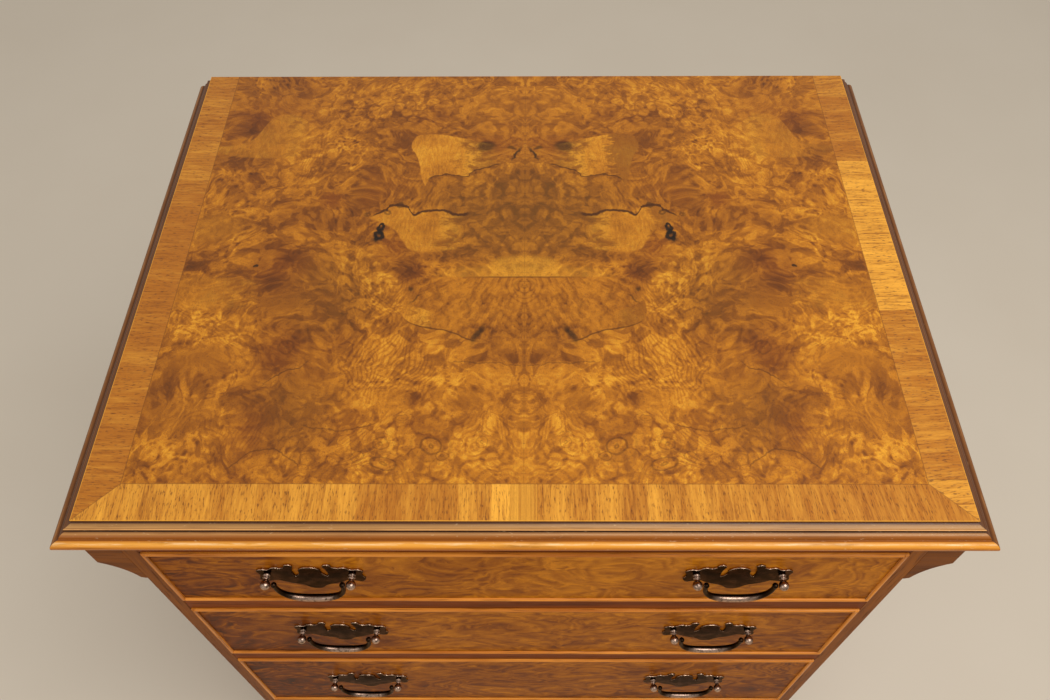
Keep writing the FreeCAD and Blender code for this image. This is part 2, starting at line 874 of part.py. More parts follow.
def make_post(label, across, height, inward):
    """Turn one post: shank, boss, neck and ball, with a blind hole for the bail's pin."""
    body = doc.addObject("PartDesign::Body", label)
    shank_tip = s.front_thickness + s.nut_thickness + s.shank_end
    boss_front = -s.plate_thickness - s.boss_length
    boss_edge = s.boss_radius - s.boss_edge
    ball_back = s.ball_radius * math.cos(BALL_NECK_ANGLE) - s.ball_reach
    half_section = [
        (0, shank_tip),
        (0, -s.ball_reach - s.ball_radius, s.ball_radius, -s.ball_reach),
        (s.ball_radius * math.sin(BALL_NECK_ANGLE), ball_back),
        (s.neck_radius, boss_front - s.collar_length),
        (boss_edge, boss_front, s.boss_radius, (boss_front - s.plate_thickness) / 2),
        (boss_edge, -s.plate_thickness),
        (s.shank_radius, -s.plate_thickness),
        (s.shank_radius, shank_tip),
    ]
    sketch = sketch_outline(body, "XY_Plane", half_section)
    turned = body.newObject("PartDesign::Revolution", label + "_turned")
    turned.Profile = sketch
    turned.ReferenceAxis = (sketch, ["V_Axis"])
    turned.Angle = 360
    place(body, across, case_front, height)
    hole_length = s.pin_depth + s.ball_radius * 2
    turn = FreeCAD.Rotation(FreeCAD.Vector(0, 1, 0), 90 * inward)
    start = across + (s.ball_radius - s.pin_depth - s.knuckle_gap) * inward
    hole = rod(
        label + "_pin_hole",
        (start, case_front - s.ball_reach, height),
        s.pin_radius + s.pin_clearance,
        hole_length,
        turn,
    )
    return cut(label + "_drilled", body, [hole])


def make_nut(label, across, height, front_back):
    """Make the round nut that draws a post tight from inside the drawer."""
    inwards = FreeCAD.Rotation(FreeCAD.Vector(1, 0, 0), -90)
    blank = rod(label + "_blank", (across, front_back, height), s.nut_radius, s.nut_thickness, inwards)
    hole = rod(label + "_hole", (across, front_back, height), s.shank_radius, s.nut_thickness, inwards)
    return cut(label, blank, [hole])


def batwing_plate():
    """Cut one handle's back plate: scalloped wings, a crest and a pendant, with two post holes.

    The half outline runs clockwise from the crest to the pendant, in shares of half the plate's width
    and of its height from the posts' axis, and each point carries the point its arc goes through next.
    """
    half_outline = [
        ((0.0, 0.20), (0.13, 0.175)),
        ((0.21, 0.055), (0.23, -0.08)),
        ((0.31, -0.17), (0.325, 0.05)),
        ((0.28, 0.22), (0.35, 0.312)),
        ((0.44, 0.235), (0.50, 0.18)),
        ((0.56, 0.17), (0.64, 0.197)),
        ((0.725, 0.15), (0.785, 0.108)),
        ((0.85, 0.112), (0.95, 0.105)),
        ((1.0, 0.0), (0.965, -0.11)),
        ((0.99, -0.20), (1.0, -0.30)),
        ((0.91, -0.385), (0.78, -0.340)),
        ((0.65, -0.325), (0.475, -0.44)),
        ((0.30, -0.505), (0.21, -0.56)),
        ((0.15, -0.625), (0.085, -0.675)),
        ((0.0, -0.688), None),
    ]
    across = s.post_spacing.number / 2 + s.plate_margin.number
    high = s.plate_height.number
    front = -s.plate_thickness.number

    def point(pair, sign):
        return FreeCAD.Vector(pair[0] * across * sign, front, pair[1] * high)

    edges = []
    for sign in (1, -1):
        for (start, via), (end, _) in zip(half_outline, half_outline[1:]):
            edges.append(Part.Arc(point(start, sign), point(via, sign), point(end, sign)).toShape())
    outline = Part.Wire(Part.__sortEdges__(edges))
    plate = Part.Face(outline).extrude(FreeCAD.Vector(0, -front, 0))
    radius = s.shank_radius.number + s.shank_clearance.number
    for sign in (1, -1):
        centre = FreeCAD.Vector(s.post_spacing.number / 2 * sign, front, 0)
        plate = plate.cut(Part.makeCylinder(radius, -front, centre, FreeCAD.Vector(0, 1, 0)))
    return plate


def swan_neck_bail():
    """Cast one bail: a drooping bar, thick in the middle, with a knuckle and a pin at each end.

    Its middle line is half of a full ellipse, and the bar swells from its ends to its middle.
    """
    half = (s.post_spacing - s.ball_radius * 2).number / 2 - (s.knuckle_gap + s.knuckle_radius).number
    drop = s.bail_drop.number
    thin = s.bail_end_radius.number
    swell = s.bail_middle_radius.number - thin
    power = 2 / BAIL_FULLNESS

    def centre(angle):
        reach = math.copysign(abs(math.cos(angle)) ** power, math.cos(angle))
        return FreeCAD.Vector(half * reach, 0, -drop * abs(math.sin(angle)) ** power)

    sections = []
    for i in range(BAIL_SECTIONS):
        share = i / (BAIL_SECTIONS - 1)
        angle = math.pi * (BAIL_END_SHARE + (1 - 2 * BAIL_END_SHARE) * share)
        ahead = centre(angle + math.pi * BAIL_END_SHARE) - centre(angle - math.pi * BAIL_END_SHARE)
        radius = thin + swell * math.sin(angle) ** 2
        circle = Part.Circle(centre(angle), ahead, radius)
        sections.append(Part.Wire(circle.toShape()))
    bail = Part.makeLoft(sections, True, False)
    pin_length = s.knuckle_radius.number + s.knuckle_gap.number + s.pin_depth.number
    for sign in (1, -1):
        end = FreeCAD.Vector(half * sign, 0, 0)
        knuckle = Part.makeSphere(s.knuckle_radius.number, end)
        pin = Part.makeCylinder(s.pin_radius.number, pin_length, end, FreeCAD.Vector(sign, 0, 0))
        bail = bail.fuse([knuckle, pin])
    return bail


def check_and_write():
    """Stop on any failed object, then write each piece to its own file."""
    doc.recompute()
    for item in doc.Objects:
        if "Invalid" in item.State or "Error" in item.State:
            raise RuntimeError(f"{item.Label}: {item.State}")
    os.makedirs("parts", exist_ok=True)
    for item in nodes:
        shape = item.Shape
        if shape.isNull() or not shape.isValid():
            raise RuntimeError(f"{item.Label}: shape not valid")
        shape.exportStep(f"parts/{item.Label}.step")
        print(item.Label, len(shape.Solids), round(shape.Volume))


make_top()
make_case()
make_brackets()
make_base()
for level in opening_height:
    make_drawer(level)
check_and_write()
print("nodes", len(nodes))
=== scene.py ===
"""Looks of a veneered bachelors chest: finishes, softened edges, handles, studio and camera.

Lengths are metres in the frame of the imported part: +Z up, the front faces -Y, the floor is at 0.
"""

import json
import logging
import math
from abc import ABC, abstractmethod
from dataclasses import dataclass, field
from enum import Enum
from typing import ClassVar

import bmesh
import bpy
from mathutils import Matrix, Vector

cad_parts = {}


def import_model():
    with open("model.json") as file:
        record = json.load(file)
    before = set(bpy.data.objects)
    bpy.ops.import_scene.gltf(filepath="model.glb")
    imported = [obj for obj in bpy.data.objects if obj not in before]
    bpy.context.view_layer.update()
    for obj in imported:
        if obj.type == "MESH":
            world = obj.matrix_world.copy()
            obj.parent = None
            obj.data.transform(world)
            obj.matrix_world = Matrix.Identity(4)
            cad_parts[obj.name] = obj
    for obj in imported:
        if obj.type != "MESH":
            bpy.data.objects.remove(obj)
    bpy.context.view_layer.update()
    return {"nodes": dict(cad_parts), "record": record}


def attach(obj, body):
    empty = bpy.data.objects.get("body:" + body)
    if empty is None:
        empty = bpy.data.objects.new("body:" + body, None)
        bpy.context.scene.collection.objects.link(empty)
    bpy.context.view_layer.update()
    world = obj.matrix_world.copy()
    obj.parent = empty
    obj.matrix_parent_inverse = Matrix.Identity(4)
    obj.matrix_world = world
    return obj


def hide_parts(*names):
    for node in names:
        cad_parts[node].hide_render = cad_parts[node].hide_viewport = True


log = logging.getLogger("bachelors_chest")

Colour = tuple[float, float, float, float]
Point = tuple[float, float, float]

# Places on the chest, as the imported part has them
TOP_HALF = 0.310
TOP_SURFACE = 0.761
VENEER_FRONT = -0.2263
BAND = 0.028
UPRIGHT_BEAD = 0.2732
HANDLE_MIDDLE = 0.161

# How meshes are cleaned and softened
WELD_DISTANCE = 1e-6
FLAT_ANGLE = math.radians(0.5)
ARRIS_ANGLE = math.radians(35)
ARRIS_SEGMENTS = 2


def paint(red: int, green: int, blue: int) -> Colour:
    """Turn an 8-bit screen colour into linear light.

    Args:
        red: Red share, 0 to 255.
        green: Green share, 0 to 255.
        blue: Blue share, 0 to 255.

    Returns:
        The linear colour with a full alpha.
    """
    shares = [value / 255 for value in (red, green, blue)]
    linear = [s / 12.92 if s <= 0.04045 else ((s + 0.055) / 1.055) ** 2.4 for s in shares]
    return (linear[0], linear[1], linear[2], 1.0)


class Wire:
    """A node socket that Python's operators work on."""

    def __init__(self, graph: "Graph", socket: bpy.types.NodeSocket) -> None:
        """Hold a socket and the graph that it belongs to."""
        self.graph = graph
        self.socket = socket

    def maths(self, operation: str, *values: "Wire | float") -> "Wire":
        """Add one Math node.

        Args:
            operation: The node's operation.
            values: The node's inputs in order.

        Returns:
            The node's result.
        """
        return self.graph.add("ShaderNodeMath", {"operation": operation}, dict(enumerate(values)))

    def __add__(self, other: "Wire | float") -> "Wire":
        """Add a value."""
        return self.maths("ADD", self, other)

    def __radd__(self, other: float) -> "Wire":
        """Add to a number."""
        return self.maths("ADD", other, self)

    def __sub__(self, other: "Wire | float") -> "Wire":
        """Take a value away."""
        return self.maths("SUBTRACT", self, other)

    def __rsub__(self, other: float) -> "Wire":
        """Take this value from a number."""
        return self.maths("SUBTRACT", other, self)

    def __mul__(self, other: "Wire | float") -> "Wire":
        """Multiply by a value."""
        return self.maths("MULTIPLY", self, other)

    def __rmul__(self, other: float) -> "Wire":
        """Multiply a number."""
        return self.maths("MULTIPLY", other, self)

    def __truediv__(self, other: "Wire | float") -> "Wire":
        """Divide by a value."""
        return self.maths("DIVIDE", self, other)

    def __pow__(self, power: float) -> "Wire":
        """Raise to a power."""
        return self.maths("POWER", self, power)

    def __abs__(self) -> "Wire":
        """Drop the sign."""
        return self.maths("ABSOLUTE", self)

    def sine(self) -> "Wire":
        """Take the sine."""
        return self.maths("SINE", self)

    def floor(self) -> "Wire":
        """Drop the fraction."""
        return self.maths("FLOOR", self)

    def largest(self, other: "Wire | float") -> "Wire":
        """Take the larger of two values."""
        return self.maths("MAXIMUM", self, other)

    def smallest(self, other: "Wire | float") -> "Wire":
        """Take the smaller of two values."""
        return self.maths("MINIMUM", self, other)

    def rise(self, low: float, high: float) -> "Wire":
        """Go smoothly from 0 at one value to 1 at another, which may be the lower one.

        Args:
            low: The value that gives 0.
            high: The value that gives 1.

        Returns:
            The smooth step.
        """
        ends = (low, high, 0.0, 1.0) if low < high else (high, low, 1.0, 0.0)
        inputs = {0: self, **{i + 1: end for i, end in enumerate(ends)}}
        return self.graph.add("ShaderNodeMapRange", {"interpolation_type": "SMOOTHSTEP"}, inputs)


class Graph:
    """A node tree that is filled from Python."""

    def __init__(self, tree: bpy.types.NodeTree) -> None:
        """Hold the tree."""
        self.tree = tree

    def add(
        self, kind: str, settings: dict | None = None, inputs: dict | None = None, output: int | str = 0
    ) -> Wire:
        """Add a node, set it and wire its inputs.

        Args:
            kind: The node's type.
            settings: Its properties; "stops" gives a ramp's (place, colour) pairs, "curve" a curve's points.
            inputs: Values or wires by socket name or number; a list of wires joins them all in one socket.
            output: The output to hand back.

        Returns:
            That output.
        """
        node = self.tree.nodes.new(kind)
        for key, value in (settings or {}).items():
            if key == "stops":
                self._set_stops(node.color_ramp, value)
            elif key == "curve":
                self._set_curve(node.mapping, value)
            else:
                setattr(node, key, value)
        for key, value in (inputs or {}).items():
            if isinstance(value, (Wire, list)):
                for wire in [value] if isinstance(value, Wire) else value:
                    self.tree.links.new(wire.socket, node.inputs[key])
            else:
                node.inputs[key].default_value = value
        return Wire(self, node.outputs[output]) if len(node.outputs) else Wire(self, None)

    @staticmethod
    def _set_stops(ramp: bpy.types.ColorRamp, stops: list[tuple[float, Colour]]) -> None:
        """Give a colour ramp its stops.

        Args:
            ramp: The ramp.
            stops: Its (place, colour) pairs, in order.
        """
        while len(ramp.elements) < len(stops):
            ramp.elements.new(1.0)
        for element, (place, colour) in zip(ramp.elements, stops):
            element.position = place
            element.color = colour

    @staticmethod
    def _set_curve(mapping: bpy.types.CurveMapping, points: list[tuple[float, float]]) -> None:
        """Give a curve its points.

        Args:
            mapping: The curve's mapping.
            points: Its points, in order.
        """
        curve = mapping.curves[0]
        while len(curve.points) < len(points):
            curve.points.new(0.5, 0.5)
        for point, place in zip(curve.points, points):
            point.location = place
        mapping.update()


class Shader(Graph):
    """The node tree of one material, with the few textures that wood and metal need."""

    def __init__(self, name: str) -> None:
        """Start an empty material.

        Args:
            name: The material's name.
        """
        self.material = bpy.data.materials.new(name)
        self.material.use_nodes = True
        super().__init__(self.material.node_tree)
        self.tree.nodes.clear()

    def place(self) -> Wire:
        """Give the point on the surface, in the chest's frame."""
        return self.add("ShaderNodeTexCoord", output="Object")

    def facing(self) -> tuple[Wire, Wire, Wire]:
        """Give the three parts of the way that the surface faces."""
        return self.split(self.add("ShaderNodeNewGeometry", output="Normal"))

    def split(self, vector: Wire) -> tuple[Wire, Wire, Wire]:
        """Split a vector.

        Args:
            vector: The vector.

        Returns:
            Its three parts.
        """
        first = self.add("ShaderNodeSeparateXYZ", inputs={0: vector})
        outputs = first.socket.node.outputs
        return first, Wire(self, outputs[1]), Wire(self, outputs[2])

    def join(self, x: Wire | float, y: Wire | float, z: Wire | float = 0.0) -> Wire:
        """Make a vector of three parts."""
        return self.add("ShaderNodeCombineXYZ", inputs={0: x, 1: y, 2: z})

    def noise(
        self, vector: Wire, scale: float, detail: float = 2.0, rough: float = 0.5, twist: float = 0.0
    ) -> Wire:
        """Make a cloudy value between 0 and 1.

        Args:
            vector: Where it is read.
            scale: Clouds to the metre.
            detail: Octaves of finer clouds.
            rough: How strong the finer clouds are.
            twist: How far the clouds are dragged by themselves.

        Returns:
            The value.
        """
        inputs = {"Vector": vector, "Scale": scale, "Detail": detail, "Roughness": rough, "Distortion": twist}
        return self.add("ShaderNodeTexNoise", inputs=inputs)

    def drift(self, vector: Wire, scale: float, reach: float, detail: float = 2.0) -> Wire:
        """Push a vector about by a cloudy amount.

        Args:
            vector: The vector.
            scale: Clouds to the metre.
            reach: The longest push, in metres.
            detail: Octaves of finer clouds.

        Returns:
            The pushed vector.
        """
        inputs = {"Vector": vector, "Scale": scale, "Detail": detail}
        cloud = self.add("ShaderNodeTexNoise", inputs=inputs, output="Color")
        centred = self.vector("SUBTRACT", cloud, (0.5, 0.5, 0.5))
        inputs = {0: centred, 1: (2 * reach,) * 3, 2: vector}
        return self.add("ShaderNodeVectorMath", {"operation": "MULTIPLY_ADD"}, inputs)

    def vector(self, operation: str, first: Wire, second: Wire | Point, output: str = "Vector") -> Wire:
        """Add one Vector Math node on two vectors."""
        return self.add("ShaderNodeVectorMath", {"operation": operation}, {0: first, 1: second}, output)

    def cells(self, vector: Wire, scale: float) -> Wire:
        """Give the distance to the nearest of many points scattered over a plane."""
        inputs = {"Vector": vector, "Scale": scale}
        return self.add("ShaderNodeTexVoronoi", {"voronoi_dimensions": "2D"}, inputs, "Distance")

    def ramp(self, value: Wire, stops: list[tuple[float, Colour]]) -> Wire:
        """Turn a value into a colour."""
        return self.add("ShaderNodeValToRGB", {"stops": stops}, {0: value})

    def mix(self, share: Wire | float, first: Wire | Colour, second: Wire | Colour) -> Wire:
        """Mix two colours.

        Args:
            share: Share of the second.
            first: The first colour.
            second: The second colour.

        Returns:
            The mixed colour.
        """
        return self.add("ShaderNodeMix", {"data_type": "RGBA"}, {0: share, 6: first, 7: second}, 2)

    def mix_places(self, share: float, first: Wire, second: Wire) -> Wire:
        """Mix two places, by a share of the second."""
        return self.add("ShaderNodeMix", {"data_type": "VECTOR"}, {0: share, 4: first, 5: second}, 1)

    def surface(self, colour: Wire, rough: Wire, height: Wire, relief: float, fixed: dict) -> None:
        """Finish the material with one lacquered or metal shader.

        Args:
            colour: Its colour.
            rough: Its roughness.
            height: Its fine relief, from 0 to 1.
            relief: The relief's depth in metres.
            fixed: Sockets that are the same all over.
        """
        bump = self.add("ShaderNodeBump", inputs={"Height": height, "Distance": relief})
        inputs = {"Base Color": colour, "Roughness": rough, "Normal": bump, **fixed}
        shader = self.add("ShaderNodeBsdfPrincipled", inputs=inputs)
        self.add("ShaderNodeOutputMaterial", inputs={"Surface": shader})


class Grain(Enum):
    """The way that a piece's wood runs."""

    ACROSS = "across the chest"
    DEEP = "from front to back"
    UPRIGHT = "up the chest"
    ROUND = "across on the front, from front to back on the sides"
    BEAD = "along each of the four beads of a drawer"


class Finish(ABC):
    """A surface finish, made once and then shared."""

    name: str
    made: ClassVar[dict[str, bpy.types.Material]] = {}

    def material(self) -> bpy.types.Material:
        """Give the finish as a material, made when it is first asked for.

        Returns:
            The material.
        """
        if self.name not in Finish.made:
            shader = Shader(self.name)
            self.lay(shader)
            Finish.made[self.name] = shader.material
        return Finish.made[self.name]

    @abstractmethod
    def lay(self, shader: Shader) -> None:
        """Build the finish in an empty shader."""


class Polish(Enum):
    """How a surface is polished."""

    LACQUER = {"Coat Weight": 0.22, "Coat Roughness": 0.2, "Specular IOR Level": 0.2}
    RUBBED = {"Coat Weight": 0.2, "Coat Roughness": 0.18, "Specular IOR Level": 0.1}
    SATIN = {"Specular IOR Level": 0.04}
    OILED = {"Specular IOR Level": 0.1}


@dataclass(frozen=True)
class StraightWood(Finish):
    """Straight-grained timber with streaks and open pores along its grain."""

    name: str
    grain: Grain
    dark: Colour
    light: Colour
    pore: Colour
    pore_share: float = 0.5
    streak: float = 240.0
    stretch: float = 16.0
    gloss: float = 0.38
    relief: float = 0.0001
    polish: Polish = Polish.SATIN

    def lay(self, shader: Shader) -> None:
        """Build streaks, pores and relief.

        Args:
            shader: The empty shader that it is built in.
        """
        along, across, other = self._axes(shader)
        wood = shader.join(along / self.stretch, across, other)
        wood = shader.drift(wood, 30.0, 0.004)
        bands = shader.noise(wood, self.streak * 0.18, 3.0, 0.55)
        streaks = shader.noise(wood, self.streak, 4.0, 0.6)
        tone = (bands * 0.6 + streaks * 0.4).rise(0.3, 0.7)
        colour = shader.mix(tone, self.dark, self.light)
        drawn = shader.join(along / (self.stretch * 1.6), across, other)
        pores = shader.noise(drawn, self.streak * 4.2, 1.0)
        pits = pores.rise(0.58, 0.7) * streaks.rise(0.68, 0.42)
        colour = shader.mix(pits * self.pore_share, colour, self.pore)
        rough = self.gloss + (streaks - 0.5) * 0.18 + pits * 0.12
        shader.surface(colour, rough, streaks * 0.4 - pits, self.relief, self.polish.value)

    def _axes(self, shader: Shader) -> tuple[Wire, Wire, Wire]:
        """Turn the place on the surface to suit the grain.

        Args:
            shader: The shader.

        Returns:
            The place along the grain and the two places across it.
        """
        x, y, z = shader.split(shader.place())
        if self.grain is Grain.DEEP:
            return y, x, z
        if self.grain is Grain.UPRIGHT:
            return z, x, y
        if self.grain is Grain.ROUND:
            on_side = abs(shader.facing()[0]).rise(0.7, 0.72)
            return x + (y - x) * on_side, y + (x - y) * on_side, z
        if self.grain is Grain.BEAD:
            upright = abs(x).rise(UPRIGHT_BEAD - 0.0002, UPRIGHT_BEAD)
            return x + (z - x) * upright, z + (x - z) * upright, y
        return x, y, z


@dataclass(frozen=True)
class Plywood(Finish):
    """Pale rotary-cut sheet with broad wandering figure."""

    name: str
    dark: Colour
    light: Colour
    relief: float = 0.0001

    def lay(self, shader: Shader) -> None:
        """Build broad contour figure with fine fibres along the height.

        Args:
            shader: The empty shader that it is built in.
        """
        x, y, z = shader.split(shader.place())
        sheet = shader.drift(shader.join(x, y, z / 5.0), 9.0, 0.02)
        rings = shader.noise(sheet, 11.0, 2.0)
        contour = (rings * 62.0).sine() * 0.5 + 0.5
        fibre = shader.noise(shader.join(x, y, z / 24.0), 900.0, 2.0)
        tone = contour * 0.35 + fibre * 0.65
        colour = shader.mix(tone, self.dark, self.light)
        rough = 0.55 + fibre * 0.15
        shader.surface(colour, rough, fibre, self.relief, Polish.OILED.value)


@dataclass(frozen=True)
class Bronze(Finish):
    """Dark bronzed metal, rubbed brighter where hands and cloths reach it, with painted highlights on the
    plates' upper edges, the posts' necks, the balls' fronts and the bails' middles.

    Attributes:
        skin: Its dark colour.
        grime: Colour of the stains on it.
        rubbed: Its colour where it is rubbed and where highlights are painted.
        plate_front: Place of the plates' front, from front to back.
        ball_middle: Place behind which the balls and bails aren't rubbed or given painted highlights.
        ball_front: Place of the balls' front.
        handle_middle: Distance of each handle's middle from the chest's middle.
        sheen: Tint of its grazing reflections.
        grip: Distances from a handle's middle at which a bail starts to be rubbed and given a painted
            highlight, and fully is.
        posts: Distances from a handle's middle at which a post starts and is reached; the posts' necks get a
            painted highlight.
        relief: Depth of its fine relief.
    """

    name: str
    skin: Colour
    grime: Colour
    rubbed: Colour
    plate_front: float
    ball_middle: float
    ball_front: float
    handle_middle: float
    sheen: Colour
    grip: tuple[float, float] = (0.021, 0.008)
    posts: tuple[float, float] = (0.0265, 0.0285)
    relief: float = 0.00004

    def lay(self, shader: Shader) -> None:
        """Build the dark skin, the rubbed places with their painted highlights and the cast surface.

        Args:
            shader: The empty shader that it is built in.
        """
        place = shader.place()
        mottle = shader.noise(place, 420.0, 3.0, 0.6)
        cast = shader.noise(place, 1900.0, 2.0)
        x, y, _ = shader.split(place)
        from_middle = abs(abs(x) - self.handle_middle)
        post = from_middle.rise(*self.posts)
        bail_middle_or_post = from_middle.rise(*self.grip).largest(post)
        # Painted highlight: the posts' necks, just in front of the plates, are lightened.
        neck = post * y.rise(self.plate_front - 0.001, self.plate_front - 0.003)
        _, outward, upward = shader.facing()
        # Painted highlight, partly standing for wear: the plates' edges that face upwards are lightened.
        edge = abs(outward).rise(0.97, 0.75) * y.rise(self.plate_front - 0.0003, self.plate_front)
        edge = edge * upward.rise(0.0, 0.5)
        # The balls' fronts and the bails' middles are lightened, partly as rubbed wear and partly as painted
        # highlight.
        knob = y.rise(self.ball_middle, self.ball_front)
        wear_and_highlight = edge.largest(knob * bail_middle_or_post * 0.85).largest(neck * 0.5) * mottle.rise(0.25, 0.55)
        stain = shader.noise(place, 130.0, 4.0, 0.65).rise(0.38, 0.6)
        colour = shader.mix(wear_and_highlight, shader.mix(stain * 0.8, self.skin, self.grime), self.rubbed)
        rough = 0.28 + stain * 0.08 - wear_and_highlight * 0.12 + (cast - 0.5) * 0.12
        shader.surface(colour, rough, cast, self.relief, {"Metallic": 1.0, "Specular Tint": self.sheen})


@dataclass(frozen=True)
class Steel(Finish):
    """Dull plated steel of screws and nuts."""

    name: str
    dull: Colour
    bright: Colour
    relief: float = 0.00004

    def lay(self, shader: Shader) -> None:
        """Build a faintly mottled plating.

        Args:
            shader: The empty shader that it is built in.
        """
        mottle = shader.noise(shader.place(), 420.0, 3.0)
        colour = shader.mix(mottle, self.dull, self.bright)
        shader.surface(colour, 0.3 + mottle * 0.25, mottle, self.relief, {"Metallic": 1.0})


@dataclass(frozen=True)
class FiguredWalnut(Finish):
    """Veneer of the drawer fronts: soft wavy figure that runs along the drawer."""

    name: str
    deep: Colour
    dark: Colour
    middle: Colour
    light: Colour
    pore: Colour
    painted_light_height: float = 0.68
    relief: float = 0.00008

    def lay(self, shader: Shader) -> None:
        """Build clouds, curls and pores, with painted light and shade: paler towards the chest's top and
        darker towards its ends.

        Args:
            shader: The empty shader that it is built in.
        """
        x, y, z = shader.split(shader.place())
        face = shader.drift(shader.join(x * 0.55, y, z), 11.0, 0.05, 3.0)
        curl = shader.drift(face, 48.0, 0.012, 2.0)
        clouds = shader.noise(face, 14.0, 3.0, 0.5)
        figure = shader.noise(curl, 95.0, 5.0, 0.68, 0.6)
        flow = shader.noise(face, 11.0, 3.0, 0.5)
        waves = (flow * 120.0 + figure * 7.0).sine() * 0.5 + 0.5
        fibre = shader.noise(shader.join(x / 5.0, y, z), 900.0, 2.0)
        # Painted light and shade: lighter towards the chest's top and the drawers' middles, darker lower down
        # and towards their ends, most at the left-hand end.
        painted_light_falloff = (z - self.painted_light_height) * 0.42 + x * 0.3 - x * x * 2.2 + 0.06
        tone = 0.5 + (clouds - 0.5) * 0.65 + (figure - 0.5) * 0.95
        tone = tone + (waves - 0.5) * 0.14 + (fibre - 0.5) * 0.25 + painted_light_falloff
        stops = [(0.05, self.deep), (0.26, self.dark), (0.5, self.middle), (0.76, self.light)]
        colour = shader.ramp(tone, stops)
        pits = fibre.rise(0.62, 0.72)
        colour = shader.mix(pits * 0.4, colour, self.pore)
        rough = 0.4 + (figure - 0.5) * 0.16 + pits * 0.1
        shader.surface(colour, rough, figure * 0.5 - pits * 0.5, self.relief, Polish.SATIN.value)


@dataclass(frozen=True)
class Crossband(Finish):
    """Veneer border whose grain runs across it, in several lengths, mitred at the front corners.

    Attributes:
        half_width: Half the width over both side bands.
        front: Place of the front band's front edge.
        band: Width of a band.
        piece_length: Length of one piece of veneer.
        front_lengths: Lengths of the front band, each with its start, its end and how much lighter it is.
        right_lengths: Lengths of the right-hand band, given in the same way.
        corner_joint: Place of the butt joint near the right-hand corner.
        dark: Colour of the dark wood.
        light: Colour of the light wood, also of the painted highlight along the outer edge.
        thread: Colour of the fine dark threads.
        pore: Colour of the open pores.
        seam: Colour of the joints.
        relief: Depth of its fine relief.
    """

    name: str
    half_width: float
    front: float
    band: float
    piece_length: float
    front_lengths: tuple[tuple[float, float, float], ...]
    right_lengths: tuple[tuple[float, float, float], ...]
    corner_joint: float
    dark: Colour
    light: Colour
    thread: Colour
    pore: Colour
    seam: Colour
    relief: float = 0.0001
    half_joint: ClassVar[float] = 0.0005

    def lay(self, shader: Shader) -> None:
        """Build the lengths, their streaks, pores and seams, with painted shade on the side bands and towards
        the front band's right-hand end and a painted highlight along the outer edge.

        Args:
            shader: The empty shader that it is built in.
        """
        x, y, _ = shader.split(shader.place())
        from_side = self.half_width - abs(x)
        from_front = y - self.front
        on_side = (from_front - from_side).rise(-0.0001, 0.0001)
        run = x + (y - x) * on_side
        across = from_front + (from_side - from_front) * on_side
        hand = x.rise(-0.01, 0.01)
        lean = shader.noise(shader.join(run, 0.3, hand), 3.0) * 0.5 - 0.22
        wood = shader.join(run + across * lean, across / 9.0, hand + on_side * 3.0)
        wood = shader.drift(wood, 40.0, 0.0012)
        bands = shader.noise(wood, 60.0, 2.0)
        streaks = shader.noise(wood, 420.0, 4.0, 0.6)
        piece = shader.join((run / self.piece_length + hand * 7.0 + 0.35).floor(), on_side)
        tint = shader.add("ShaderNodeTexWhiteNoise", {"noise_dimensions": "2D"}, {"Vector": piece})
        on_front = 1.0 - on_side
        # Painted shade: the side bands are darkened, and the front band towards its right-hand end; the
        # lengths added below give the pieces their own tones.
        length_tone_and_shade = on_side * (hand * 0.02 - 0.13) - 0.02 - on_front * x.rise(0.08, 0.24) * 0.09
        for length in self.front_lengths:
            length_tone_and_shade = length_tone_and_shade + on_front * self._length(x, *length)
        for length in self.right_lengths:
            length_tone_and_shade = length_tone_and_shade + on_side * hand * self._length(y, *length)
        corner = on_side * hand * y.rise(self.corner_joint + 0.0002, self.corner_joint - 0.0002)
        tone = bands * 0.45 + streaks * 0.4 + tint * 0.16 + length_tone_and_shade + corner * 0.16
        colour = shader.mix(tone.rise(0.25, 0.75), self.dark, self.light)
        fine = shader.join(run + across * lean, across / 14.0, hand + on_side * 5.0)
        threads = shader.noise(shader.drift(fine, 60.0, 0.0006), 560.0, 3.0, 0.6).rise(0.5, 0.62)
        colour = shader.mix(threads * (bands.rise(0.62, 0.38) * 0.4 + 0.2), colour, self.thread)
        pores = shader.noise(shader.join(run + across * lean, across / 6.0, hand), 1300.0, 2.0)
        pits = pores.rise(0.55, 0.66) * (streaks.rise(0.62, 0.42) * 0.8 + 0.2)
        colour = shader.mix(pits * 0.7, colour, self.pore)
        inner = abs(across - self.band).rise(0.0007, 0.0002)
        mitre = abs(from_side - from_front).rise(0.0008, 0.0002) * 0.6
        butt = abs(y - self.corner_joint).rise(0.0006, 0.0002) * on_side * hand * 0.6
        colour = shader.mix(inner.largest(mitre).largest(butt) * 0.6, colour, self.seam)
        # Painted highlight: a thin line along the band's outer edge is lightened.
        rim_highlight = from_front.smallest(from_side).rise(0.0006, 0.0001)
        colour = shader.mix(rim_highlight * 0.7, colour, self.light)
        rough = 0.36 + (streaks - 0.5) * 0.16 + pits * 0.1
        shader.surface(colour, rough, streaks * 0.4 - pits, self.relief, Polish.LACQUER.value)

    @staticmethod
    def _length(run: Wire, start: float, end: float, change: float) -> Wire:
        """Make one length of veneer lighter or darker.

        Args:
            run: The place along the band.
            start: Where the length starts.
            end: Where it ends.
            change: How much lighter it is.

        Returns:
            The change within the length, and 0 outside it.
        """
        joint = Crossband.half_joint
        return run.rise(start - joint, start + joint) * run.rise(end + joint, end - joint) * change


